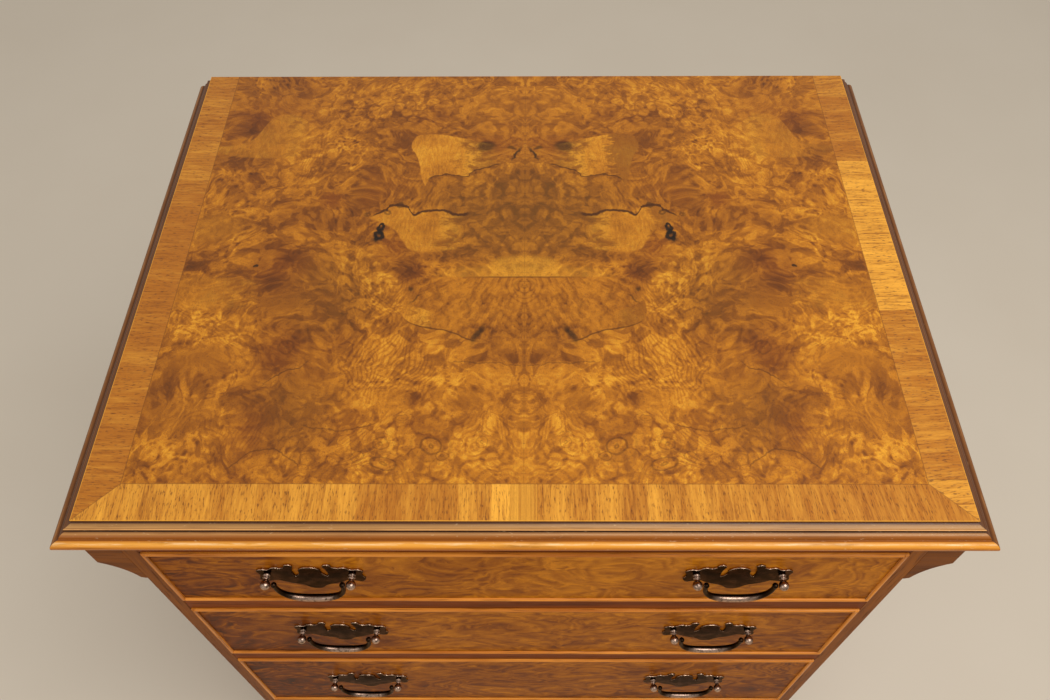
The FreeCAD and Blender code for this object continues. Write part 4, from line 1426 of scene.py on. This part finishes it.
MOULDING_SHAPE = {"top": TOP_SURFACE, "riser_depths": (0.0043, 0.0074), "crest": 0.0124}
FRONT_MOULDING = StainedMoulding(
    name="front_moulding",
    grain=Grain.ACROSS,
    inner=-VENEER_FRONT,
    # The steps hold the stain with painted light and shade: painted shade in the dark steps at 0.0, 0.0005,
    # 0.0056 and 0.0102, a painted highlight on the arris at 0.0047, and the rounded foot from 0.0108 on
    # painted lit at its crest and shaded below it.
    steps=(
        (0.0, paint(66, 40, 32)),
        (0.0005, paint(84, 54, 40)),
        (0.0012, paint(150, 108, 62)),
        (0.0034, paint(182, 134, 80)),
        (0.0043, paint(158, 108, 58)),
        (0.0047, paint(232, 172, 104)),
        (0.0052, paint(214, 152, 88)),
        (0.0056, paint(146, 100, 58)),
        (0.0066, paint(182, 128, 74)),
        (0.0078, paint(156, 96, 44)),
        (0.0088, paint(144, 80, 22)),
        (0.0102, paint(132, 70, 14)),
        (0.0108, paint(200, 126, 42)),
        (0.0126, paint(230, 160, 66)),
        (0.0140, paint(222, 146, 50)),
        (0.0150, paint(184, 108, 30)),
    ),
    riser_shade=paint(58, 34, 24),
    shade=paint(96, 52, 22),
    scuff_and_highlight=paint(252, 216, 164),
    **MOULDING_SHAPE,
)
# Painted shade: the side mouldings are coloured darker than the front one all through, a shaded copy of the
# same stained moulding, with the same painted highlights and shade in their steps.
SIDE_MOULDING_SHADED = StainedMoulding(
    name="side_moulding",
    grain=Grain.DEEP,
    inner=TOP_HALF,
    steps=(
        (0.0, paint(70, 40, 24)),
        (0.0012, paint(98, 62, 40)),
        (0.0034, paint(110, 72, 46)),
        (0.0043, paint(98, 60, 36)),
        (0.0047, paint(142, 94, 56)),
        (0.0056, paint(84, 48, 28)),
        (0.0078, paint(104, 64, 36)),
        (0.0102, paint(86, 48, 22)),
        (0.0112, paint(114, 68, 30)),
        (0.0130, paint(128, 78, 34)),
        (0.0150, paint(108, 62, 24)),
    ),
    riser_shade=paint(54, 30, 20),
    shade=paint(76, 42, 20),
    scuff_and_highlight=paint(170, 116, 66),
    **MOULDING_SHAPE,
)

DRAWER_WALNUT = FiguredWalnut(
    name="drawer_veneer",
    deep=paint(62, 25, 2),
    dark=paint(112, 52, 3),
    middle=paint(162, 91, 8),
    light=paint(204, 126, 22),
    pore=paint(80, 38, 8),
)

# Partly the beads' own paler wood, partly painted highlight: their colours are lightened to stand for the
# highlights along their rounded faces.
BEAD_WOOD_AND_HIGHLIGHT = StraightWood(
    name="cock_bead",
    grain=Grain.BEAD,
    dark=paint(174, 96, 26),
    light=paint(242, 156, 60),
    pore=paint(96, 46, 10),
    polish=Polish.RUBBED,
)
RAIL_WOOD = StraightWood(
    name="rail_wood",
    grain=Grain.ACROSS,
    dark=paint(88, 34, 2),
    light=paint(140, 66, 6),
    pore=paint(42, 16, 2),
)
# Painted shade: the panel shows only at its edge, between the veneer and the moulding, and its dark colour
# stands for the shade on that drop.
PANEL_EDGE_SHADE = StraightWood(
    name="stained_panel",
    grain=Grain.ACROSS,
    dark=paint(86, 54, 36),
    light=paint(126, 84, 56),
    pore=paint(52, 30, 18),
)
CASE_WOOD = StraightWood(
    name="case_wood",
    grain=Grain.UPRIGHT,
    dark=paint(102, 50, 10),
    light=paint(152, 86, 22),
    pore=paint(58, 26, 6),
)
BASE_WOOD = StraightWood(
    name="base_wood",
    grain=Grain.ROUND,
    dark=paint(98, 48, 10),
    light=paint(146, 80, 22),
    pore=paint(56, 24, 6),
)
BRACKET_WOOD = StraightWood(
    name="bracket_wood",
    grain=Grain.ACROSS,
    dark=paint(90, 44, 9),
    light=paint(138, 76, 20),
    pore=paint(50, 22, 5),
)

INNER_COLOURS = {
    "dark": paint(150, 114, 70),
    "light": paint(192, 156, 106),
    "pore": paint(112, 80, 46),
    "pore_share": 0.25,
    "gloss": 0.6,
    "polish": Polish.OILED,
}
INNER_ACROSS = StraightWood(name="carcass_across", grain=Grain.ACROSS, **INNER_COLOURS)
INNER_DEEP = StraightWood(name="carcass_deep", grain=Grain.DEEP, **INNER_COLOURS)
INNER_UPRIGHT = StraightWood(name="carcass_upright", grain=Grain.UPRIGHT, **INNER_COLOURS)
SHEET = Plywood("plywood_sheet", paint(168, 128, 82), paint(206, 170, 122))
METAL_PLACES = {
    "plate_front": -0.2325,
    "ball_middle": -0.2402,
    "ball_front": -0.2457,
    "handle_middle": HANDLE_MIDDLE,
}
PLATE_BRONZE = Bronze(
    name="bronzed_plate",
    skin=paint(66, 40, 27),
    grime=paint(15, 9, 6),
    # Colour of rubbed wear and of the painted highlights.
    rubbed=paint(206, 174, 146),
    sheen=(0.64, 0.55, 0.49, 1.0),
    **METAL_PLACES,
)
ROUND_BRONZE = Bronze(
    name="bronzed_round",
    skin=paint(52, 37, 26),
    grime=paint(26, 17, 11),
    # Colour of rubbed wear and of the painted highlights.
    rubbed=paint(222, 186, 162),
    sheen=(0.72, 0.62, 0.54, 1.0),
    **METAL_PLACES,
)
SCREW_STEEL = Steel("plated_steel", paint(110, 106, 98), paint(176, 172, 162))


class Workshop:
    """Shared ways of making and fitting pieces."""

    def __init__(self, nodes: dict[str, bpy.types.Object], behaviour: dict) -> None:
        """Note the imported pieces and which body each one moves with."""
        self.nodes = nodes
        self.body_of = {node: body for body, members in behaviour["bodies"].items() for node in members}

    def dress(self, node: str, finish: Finish) -> None:
        """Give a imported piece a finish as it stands.

        Args:
            node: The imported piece.
            finish: Its finish.
        """
        slots = self.nodes[node].data.materials
        slots.clear()
        slots.append(finish.material())
        log.info("%s keeps its shape, in %s", node, finish.name)

    def soften(self, node: str, finish: Finish, slot: str, arris: float) -> None:
        """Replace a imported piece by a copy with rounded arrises.

        Args:
            node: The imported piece.
            finish: The copy's finish.
            slot: The record's material slot.
            arris: Width of the rounding, in metres.
        """
        mesh = self.nodes[node].data.copy()
        mesh.name = node + "_softened"
        shape = bmesh.new()
        shape.from_mesh(mesh)
        bmesh.ops.remove_doubles(shape, verts=shape.verts, dist=WELD_DISTANCE)
        bmesh.ops.dissolve_limit(
            shape, angle_limit=FLAT_ANGLE, verts=shape.verts, edges=shape.edges, delimit={"NORMAL"}
        )
        shape.to_mesh(mesh)
        shape.free()
        piece = bpy.data.objects.new(node + "_softened", mesh)
        bpy.context.scene.collection.objects.link(piece)
        bevel = piece.modifiers.new("arris", "BEVEL")
        bevel.width = arris
        bevel.segments = ARRIS_SEGMENTS
        bevel.limit_method = "ANGLE"
        bevel.angle_limit = ARRIS_ANGLE
        mesh.shade_smooth()
        piece.modifiers.new("flat_faces", "WEIGHTED_NORMAL")
        self.settle(piece)
        self.fit(piece, finish, slot, node)

    @staticmethod
    def settle(piece: bpy.types.Object) -> None:
        """Turn a piece and its modifiers into a plain mesh.

        Args:
            piece: The piece.
        """
        bpy.context.view_layer.update()
        evaluated = piece.evaluated_get(bpy.context.evaluated_depsgraph_get())
        mesh = bpy.data.meshes.new_from_object(evaluated)
        piece.modifiers.clear()
        piece.data = mesh
        mesh.name = piece.name

    def fit(self, piece: bpy.types.Object, finish: Finish, slot: str, node: str) -> None:
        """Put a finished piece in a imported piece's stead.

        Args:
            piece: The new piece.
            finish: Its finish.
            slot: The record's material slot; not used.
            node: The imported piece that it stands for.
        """
        piece.data.materials.clear()
        piece.data.materials.append(finish.material())
        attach(piece, self.body_of[node])
        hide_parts(node)
        log.info("%s stands for %s, in %s", piece.name, node, finish.name)


@dataclass
class Pattern:
    """A Geometry Nodes tree with named inputs, run once on an object of its own."""

    name: str
    graph: Graph = field(init=False)
    keys: dict[str, str] = field(init=False, default_factory=dict)
    source: bpy.types.Node = field(init=False)

    def __post_init__(self) -> None:
        """Start an empty tree."""
        tree = bpy.data.node_groups.new(self.name, "GeometryNodeTree")
        self.graph = Graph(tree)
        tree.interface.new_socket("Geometry", in_out="OUTPUT", socket_type="NodeSocketGeometry")
        self.source = tree.nodes.new("NodeGroupInput")

    def size(self, name: str, kind: str = "NodeSocketFloat") -> Wire:
        """Add a named input.

        Args:
            name: The input's name.
            kind: The socket's type.

        Returns:
            The input as a wire.
        """
        socket = self.graph.tree.interface.new_socket(name, in_out="INPUT", socket_type=kind)
        self.keys[name] = socket.identifier
        return Wire(self.graph, self.source.outputs[name])

    def pair(self, half: Wire, depth: Wire | float = 0.0, height: Wire | float = 0.0) -> Wire:
        """Lay two points side by side, each as far from the middle.

        Args:
            half: Their distance from the middle.
            depth: Their place from front to back.
            height: Their height.

        Returns:
            The points.
        """
        first = self.graph.add("ShaderNodeCombineXYZ", inputs={0: half * -1.0, 1: depth, 2: height})
        stride = self.graph.add("ShaderNodeCombineXYZ", inputs={0: half * 2.0})
        inputs = {"Count": 2, "Start Location": first, "Offset": stride}
        return self.graph.add("GeometryNodeMeshLine", inputs=inputs)

    def repeat(self, points: Wire, shape: Wire, turn: Wire | None = None) -> Wire:
        """Put a shape at each of several points.

        Args:
            points: The points.
            shape: The shape.
            turn: How each copy is turned, if it is.

        Returns:
            The copies.
        """
        inputs = {"Points": points, "Instance": shape}
        if turn is not None:
            inputs["Rotation"] = turn
        return self.graph.add("GeometryNodeInstanceOnPoints", inputs=inputs)

    def close(self, shape: Wire, material: Wire) -> None:
        """End the tree: realize what it makes and give it a material.

        Args:
            shape: What the tree makes.
            material: Its material.
        """
        real = self.graph.add("GeometryNodeRealizeInstances", inputs={0: shape})
        inputs = {"Geometry": real, "Material": material}
        dressed = self.graph.add("GeometryNodeSetMaterial", inputs=inputs)
        self.graph.add("NodeGroupOutput", inputs={0: dressed})

    def make(self, name: str, values: dict) -> bpy.types.Object:
        """Run the tree.

        Args:
            name: The piece's name.
            values: The inputs by name.

        Returns:
            A plain mesh object.
        """
        piece = bpy.data.objects.new(name, bpy.data.meshes.new(name))
        bpy.context.scene.collection.objects.link(piece)
        modifier = piece.modifiers.new(self.name, "NODES")
        modifier.node_group = self.graph.tree
        for key, value in values.items():
            modifier[self.keys[key]] = value
        Workshop.settle(piece)
        return piece


@dataclass
class Turning:
    """A shape turned on a lathe, from a half section of (radius, depth) points."""

    name: str
    section: list[tuple[float, float]]
    steps: int = 32

    def mesh(self) -> bpy.types.Mesh:
        """Spin the section about the depth axis, which runs along +Y.

        Returns:
            The turned mesh.
        """
        shape = bmesh.new()
        points = [shape.verts.new((radius, depth, 0.0)) for radius, depth in self.section]
        edges = [shape.edges.new(pair) for pair in zip(points, points[1:])]
        bmesh.ops.spin(
            shape,
            geom=points + edges,
            cent=(0, 0, 0),
            axis=(0, 1, 0),
            angle=math.tau,
            steps=self.steps,
            use_merge=True,
        )
        bmesh.ops.remove_doubles(shape, verts=shape.verts, dist=WELD_DISTANCE)
        bmesh.ops.recalc_face_normals(shape, faces=shape.faces)
        mesh = bpy.data.meshes.new(self.name)
        shape.to_mesh(mesh)
        shape.free()
        return mesh


@dataclass
class Top:
    """The veneered top with its crossbanding and edge moulding."""

    shop: Workshop
    arris: float = 0.0005

    def build(self) -> None:
        """Dress the panel and veneers and soften the moulding."""
        self.shop.dress("top_panel", PANEL_EDGE_SHADE)
        self.shop.dress("top_burr_veneer", BURR)
        self.shop.dress("top_crossbands", CROSSBAND)
        self.shop.soften("top_moulding_front", FRONT_MOULDING, "dark_moulding", self.arris)
        for hand in ("left", "right"):
            self.shop.soften(f"top_moulding_{hand}", SIDE_MOULDING_SHADED, "dark_moulding", self.arris)


@dataclass
class Case:
    """The case: sides, rails, boards, base and feet."""

    shop: Workshop
    arris: float = 0.0006
    screw_column: float = 0.2805
    screw_rear: float = 0.2357
    screw_low: float = 0.145
    screw_high: float = 0.6875
    screws_per_edge: int = 5
    screw_radius: float = 0.0016
    screw_length: float = 0.020
    head_radius: float = 0.0032
    head_depth: float = 0.002
    head_edge: float = 0.0002
    slot_width: float = 0.0009
    slot_depth: float = 0.0008
    slot_turn: float = 2.4
    screw_steps: int = 24

    def build(self) -> None:
        """Soften what shows and dress the rest."""
        for hand in ("left", "right"):
            self.shop.soften(f"side_{hand}", CASE_WOOD, "case_walnut", self.arris)
        for level in (1, 2, 3):
            self.shop.soften(f"drawer_rail_{level}", RAIL_WOOD, "rail_walnut", self.arris)
        self.shop.soften("top_front_rail", RAIL_WOOD, "rail_walnut", self.arris)
        self.shop.soften("top_brackets", BRACKET_WOOD, "base_walnut", self.arris)
        self.shop.soften("base_moulding", BASE_WOOD, "base_walnut", self.arris)
        self.shop.soften("front_feet", BASE_WOOD, "base_walnut", self.arris)
        self.shop.soften("rear_feet", BASE_WOOD, "base_walnut", self.arris)
        self.shop.soften("foot_blocks", INNER_UPRIGHT, "carcass_timber", self.arris)
        self.shop.dress("back_panel", SHEET)
        self.shop.dress("bottom_board", INNER_ACROSS)
        self.shop.dress("top_back_rail", INNER_ACROSS)
        self.shop.dress("drawer_runners", INNER_DEEP)
        self.shop.dress("top_kickers", INNER_DEEP)
        self.shop.dress("drawer_stops", INNER_ACROSS)
        self._screws()

    def _screws(self) -> None:
        """Drive the slotted screws of the back panel."""
        pattern = Pattern("screw_rows")
        graph = pattern.graph
        master = pattern.size("Screw", "NodeSocketObject")
        column = pattern.size("Column")
        rear = pattern.size("Rear")
        low = pattern.size("Low")
        high = pattern.size("High")
        count = pattern.size("Count", "NodeSocketInt")
        step = pattern.size("Slot Turn")
        material = pattern.size("Metal", "NodeSocketMaterial")
        shape = graph.add("GeometryNodeObjectInfo", inputs={"Object": master}, output="Geometry")
        rise = graph.add("ShaderNodeCombineXYZ", inputs={2: (high - low) / (count - 1.0)})
        edge = graph.add("GeometryNodeMeshLine", inputs={"Count": count, "Offset": rise})
        turn = graph.add("ShaderNodeCombineXYZ", inputs={1: graph.add("GeometryNodeInputIndex") * step})
        line = pattern.repeat(edge, shape, turn)
        pattern.close(pattern.repeat(pattern.pair(column, rear, low), line), material)
        values = {
            "Screw": self._screw(),
            "Column": self.screw_column,
            "Rear": self.screw_rear,
            "Low": self.screw_low,
            "High": self.screw_high,
            "Count": self.screws_per_edge,
            "Slot Turn": self.slot_turn,
            "Metal": SCREW_STEEL.material(),
        }
        screws = pattern.make("back_screws", values)
        self.shop.fit(screws, SCREW_STEEL, "steel_screws", "back_panel_screws")

    def _screw(self) -> bpy.types.Object:
        """Turn one countersunk screw along -Y and saw its slot.

        Returns:
            The screw, out of the scene, for the pattern to copy.
        """
        tip = -self.screw_length
        section = [
            (0.0, 0.0),
            (self.head_radius - self.head_edge, 0.0),
            (self.head_radius, -self.head_edge),
            (self.screw_radius, -self.head_depth),
            (self.screw_radius, tip + self.screw_radius * 2),
            (0.0, tip),
        ]
        turned = Turning("screw_master", section, self.screw_steps).mesh()
        screw = bpy.data.objects.new("screw_master", turned)
        saw_mesh = bpy.data.meshes.new("slot")
        shape = bmesh.new()
        bmesh.ops.create_cube(shape, size=1.0)
        scale = Matrix.Diagonal((self.head_radius * 3, self.slot_depth * 2, self.slot_width, 1.0))
        bmesh.ops.transform(shape, matrix=scale, verts=shape.verts)
        shape.to_mesh(saw_mesh)
        shape.free()
        saw = bpy.data.objects.new("slot", saw_mesh)
        for item in (screw, saw):
            bpy.context.scene.collection.objects.link(item)
        slot = screw.modifiers.new("slot", "BOOLEAN")
        slot.object = saw
        Workshop.settle(screw)
        bpy.data.objects.remove(saw)
        bpy.context.scene.collection.objects.unlink(screw)
        return screw


@dataclass
class Handles:
    """Batwing plates, ball posts and swan-neck bails."""

    shop: Workshop
    case_front: float = -0.2309
    offset: float = HANDLE_MIDDLE
    spacing: float = 0.064
    ball_reach: float = 0.011
    ball_radius: float = 0.0038
    plate: float = 0.0015
    front_thickness: float = 0.019
    bail_half: float = 0.0256
    bail_drop: float = 0.027
    bail_end: float = 0.0018
    bail_middle: float = 0.003
    bail_fullness: float = 2.6
    bail_steps: int = 61
    bail_sides: int = 20
    knuckle: float = 0.0023
    knuckle_rings: ClassVar[int] = 12
    ball_angles: range = range(0, 153, 8)
    plate_arris: float = 0.0005
    heights: dict[int, float] = field(default_factory=lambda: {1: 0.681, 2: 0.55, 3: 0.393, 4: 0.2115})

    def __post_init__(self) -> None:
        """Turn the post and lay out the patterns that all drawers share."""
        self.post = bpy.data.objects.new("post_master", Turning("post_master", self._post_section()).mesh())
        self.post.data.shade_smooth()
        self.posts = self._post_pattern()
        self.bails = self._bail_pattern()

    def _post_section(self) -> list[tuple[float, float]]:
        """List the half section of a post: ball, neck, ring, boss, shank and nut.

        Returns:
            The (radius, depth) points, from the ball's front to the shank's end.
        """
        ball = []
        for angle in self.ball_angles:
            turn = math.radians(angle)
            depth = self.ball_reach + self.ball_radius * math.cos(turn)
            ball.append((self.ball_radius * math.sin(turn), -depth))
        plate_face = -self.plate
        nut_face = self.front_thickness
        return ball + [
            (0.0017, -0.0068),
            (0.0018, -0.0062),
            (0.0027, -0.0059),
            (0.0029, -0.0055),
            (0.0027, -0.0051),
            (0.0021, -0.0048),
            (0.0024, -0.0044),
            (0.0030, -0.0036),
            (0.0030, -0.0026),
            (0.0026, plate_face - 0.0004),
            (0.0026, plate_face),
            (0.0020, plate_face),
            (0.0020, nut_face),
            (0.0041, nut_face),
            (0.0045, nut_face + 0.0004),
            (0.0045, nut_face + 0.0031),
            (0.0041, nut_face + 0.0035),
            (0.0020, nut_face + 0.0035),
            (0.0020, nut_face + 0.0047),
            (0.0017, nut_face + 0.0050),
            (0.0, nut_face + 0.0050),
        ]

    @staticmethod
    def _post_pattern() -> Pattern:
        """Lay out four posts: two handles, and two posts on each.

        Returns:
            The pattern.
        """
        pattern = Pattern("post_rows")
        graph = pattern.graph
        master = pattern.size("Post", "NodeSocketObject")
        spacing = pattern.size("Spacing")
        offset = pattern.size("Offset")
        depth = pattern.size("Front")
        height = pattern.size("Height")
        material = pattern.size("Metal", "NodeSocketMaterial")
        shape = graph.add("GeometryNodeObjectInfo", inputs={"Object": master}, output="Geometry")
        handle = pattern.repeat(pattern.pair(spacing * 0.5), shape)
        pattern.close(pattern.repeat(pattern.pair(offset, depth, height), handle), material)
        return pattern

    @staticmethod
    def _bail_pattern() -> Pattern:
        """Draw a bail: half of a full ellipse, swelling to its middle, with a knuckle at each end.

        Returns:
            The pattern.
        """
        pattern = Pattern("swan_neck")
        graph = pattern.graph
        half = pattern.size("Half Width")
        drop = pattern.size("Drop")
        end = pattern.size("End Radius")
        middle = pattern.size("Middle Radius")
        fullness = pattern.size("Fullness")
        knuckle = pattern.size("Knuckle Radius")
        place = pattern.size("Place", "NodeSocketVector")
        steps = pattern.size("Steps", "NodeSocketInt")
        sides = pattern.size("Sides", "NodeSocketInt")
        material = pattern.size("Metal", "NodeSocketMaterial")
        line = graph.add("GeometryNodeMeshLine", inputs={"Count": steps})
        turn = graph.add("GeometryNodeInputIndex") / (steps - 1.0) * math.pi
        cosine = turn.maths("COSINE", turn)
        sine = turn.sine()
        power = turn.maths("DIVIDE", 2.0, fullness)
        reach = turn.maths("POWER", abs(cosine), power) * turn.maths("SIGN", cosine)
        fall = turn.maths("POWER", abs(sine), power)
        point = graph.add("ShaderNodeCombineXYZ", inputs={0: half * reach, 2: drop * fall * -1.0})
        path = graph.add("GeometryNodeSetPosition", inputs={"Geometry": line, "Position": point})
        path = graph.add("GeometryNodeMeshToCurve", inputs={"Mesh": path})
        swell = end + (middle - end) * (sine * sine)
        ring = graph.add("GeometryNodeCurvePrimitiveCircle", inputs={"Resolution": sides, "Radius": 1.0})
        inputs = {"Curve": path, "Profile Curve": ring, "Scale": swell, "Fill Caps": True}
        bar = graph.add("GeometryNodeCurveToMesh", inputs=inputs)
        inputs = {"Segments": sides, "Rings": Handles.knuckle_rings, "Radius": knuckle}
        ball = graph.add("GeometryNodeMeshUVSphere", inputs=inputs)
        balls = pattern.repeat(pattern.pair(half), ball)
        both = graph.add("GeometryNodeJoinGeometry", inputs={0: [bar, balls]})
        moved = graph.add("GeometryNodeTransform", inputs={"Geometry": both, "Translation": place})
        smooth = graph.add("GeometryNodeSetShadeSmooth", inputs={"Geometry": moved})
        pattern.close(smooth, material)
        return pattern

    def build(self, level: int) -> None:
        """Make one drawer's handles.

        Args:
            level: The drawer, counted from the top.
        """
        name = f"drawer_{level}"
        height = self.heights[level]
        self.shop.soften(f"{name}_handle_plates", PLATE_BRONZE, "bronzed_handles", self.plate_arris)
        posts = self.posts.make(
            f"{name}_posts",
            {
                "Post": self.post,
                "Spacing": self.spacing,
                "Offset": self.offset,
                "Front": self.case_front,
                "Height": height,
                "Metal": ROUND_BRONZE.material(),
            },
        )
        self.shop.fit(posts, ROUND_BRONZE, "bronzed_handles", f"{name}_handle_posts")
        for sign, hand in ((-1, "left"), (1, "right")):
            bail = self.bails.make(
                f"{name}_swan_neck_{hand}",
                {
                    "Half Width": self.bail_half,
                    "Drop": self.bail_drop,
                    "End Radius": self.bail_end,
                    "Middle Radius": self.bail_middle,
                    "Fullness": self.bail_fullness,
                    "Knuckle Radius": self.knuckle,
                    "Place": (self.offset * sign, self.case_front - self.ball_reach, height),
                    "Steps": self.bail_steps,
                    "Sides": self.bail_sides,
                    "Metal": ROUND_BRONZE.material(),
                },
            )
            self.shop.fit(bail, ROUND_BRONZE, "bronzed_handles", f"{name}_bail_{hand}")


@dataclass
class Drawer:
    """One drawer: veneered front, cock beads and box."""

    shop: Workshop
    level: int
    arris: float = 0.0004
    bead_arris: float = 0.0003

    def build(self) -> None:
        """Dress the front, its beads and the box."""
        name = f"drawer_{self.level}"
        self.shop.soften(f"{name}_front", DRAWER_WALNUT, "drawer_walnut", self.arris)
        self.shop.soften(f"{name}_cock_beads", BEAD_WOOD_AND_HIGHLIGHT, "cock_bead_walnut", self.bead_arris)
        self.shop.dress(f"{name}_bottom", SHEET)
        self.shop.soften(f"{name}_sides", INNER_DEEP, "carcass_timber", self.arris)
        self.shop.soften(f"{name}_back", INNER_ACROSS, "carcass_timber", self.arris)


@dataclass
class Studio:
    """Pale floor, soft lamps, world and the camera."""

    lens: float = 30.488
    eye: Point = (0.004487, -0.479175, 1.322727)
    right: Point = (0.99998389, 0.00303221, -0.00479829)
    up: Point = (0.00027987, 0.81798464, 0.57523999)
    ahead: Point = (-0.00566917, 0.57523207, -0.81797062)
    sensor: float = 36.0
    target: Point = (0.0, -0.05, 0.6)
    room_light: float = 0.5
    floor_half: float = 8.0
    floor_drop: float = 0.0005

    def build(self) -> None:
        """Set the view, then make the floor, the lamps, the world and the camera."""
        bpy.context.scene.view_settings.view_transform = "Standard"
        self._floor()
        self._world()
        self._lamp("key", place=(0.7, -0.7, 2.4), size=1.4, power=30.0)
        self._lamp("fill", place=(-1.6, -1.8, 1.8), size=1.4, power=6.0)
        self._camera()

    def _floor(self) -> None:
        """Lay the floor just under the feet."""
        half = self.floor_half
        mesh = bpy.data.meshes.new("floor")
        plan = [(-half, -half), (half, -half), (half, half), (-half, half)]
        corners = [(x, y, -self.floor_drop) for x, y in plan]
        mesh.from_pydata(corners, [], [(0, 1, 2, 3)])
        floor = bpy.data.objects.new("floor", mesh)
        bpy.context.scene.collection.objects.link(floor)
        shader = Shader("pale_floor")
        cloud = shader.noise(shader.place(), 3.0, 3.0)
        colour = shader.mix(cloud, paint(214, 200, 180), paint(222, 209, 190))
        shader.surface(colour, 0.6 + cloud * 0.1, cloud, 0.0001, Polish.OILED.value)
        mesh.materials.append(shader.material)

    def _world(self) -> None:
        """Light the room evenly."""
        world = bpy.data.worlds.new("studio")
        world.use_nodes = True
        graph = Graph(world.node_tree)
        world.node_tree.nodes.clear()
        inputs = {"Color": (1.0, 0.985, 0.96, 1.0), "Strength": self.room_light}
        light = graph.add("ShaderNodeBackground", inputs=inputs)
        graph.add("ShaderNodeOutputWorld", inputs={"Surface": light})
        bpy.context.scene.world = world

    def _lamp(self, name: str, place: Point, size: float, power: float) -> None:
        """Hang one soft square lamp that faces the chest.

        Args:
            name: The lamp's name.
            place: Where it hangs.
            size: Its side.
            power: Its power in watts.
        """
        data = bpy.data.lights.new(name, "AREA")
        data.size = size
        data.energy = power
        lamp = bpy.data.objects.new(name, data)
        lamp.location = place
        aim = Vector(self.target) - Vector(place)
        lamp.rotation_euler = aim.to_track_quat("-Z", "Y").to_euler()
        bpy.context.scene.collection.objects.link(lamp)

    def _camera(self) -> None:
        """Stand the camera where the photograph was taken from."""
        data = bpy.data.cameras.new("camera")
        data.lens = self.lens
        data.sensor_width = self.sensor
        camera = bpy.data.objects.new("camera", data)
        turn = Matrix((self.right, self.up, [-value for value in self.ahead])).transposed()
        camera.matrix_world = Matrix.Translation(self.eye) @ turn.to_4x4()
        bpy.context.scene.collection.objects.link(camera)
        bpy.context.scene.camera = camera


def main() -> None:
    """Build the chest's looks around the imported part."""
    logging.basicConfig(level=logging.INFO, format="%(message)s")
    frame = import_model()
    shop = Workshop(frame["nodes"], frame["record"]["behaviour"])
    Studio().build()
    Top(shop).build()
    Case(shop).build()
    handles = Handles(shop)
    for level in (1, 2, 3, 4):
        Drawer(shop, level).build()
        handles.build(level)


if __name__ == "__main__":
    main()
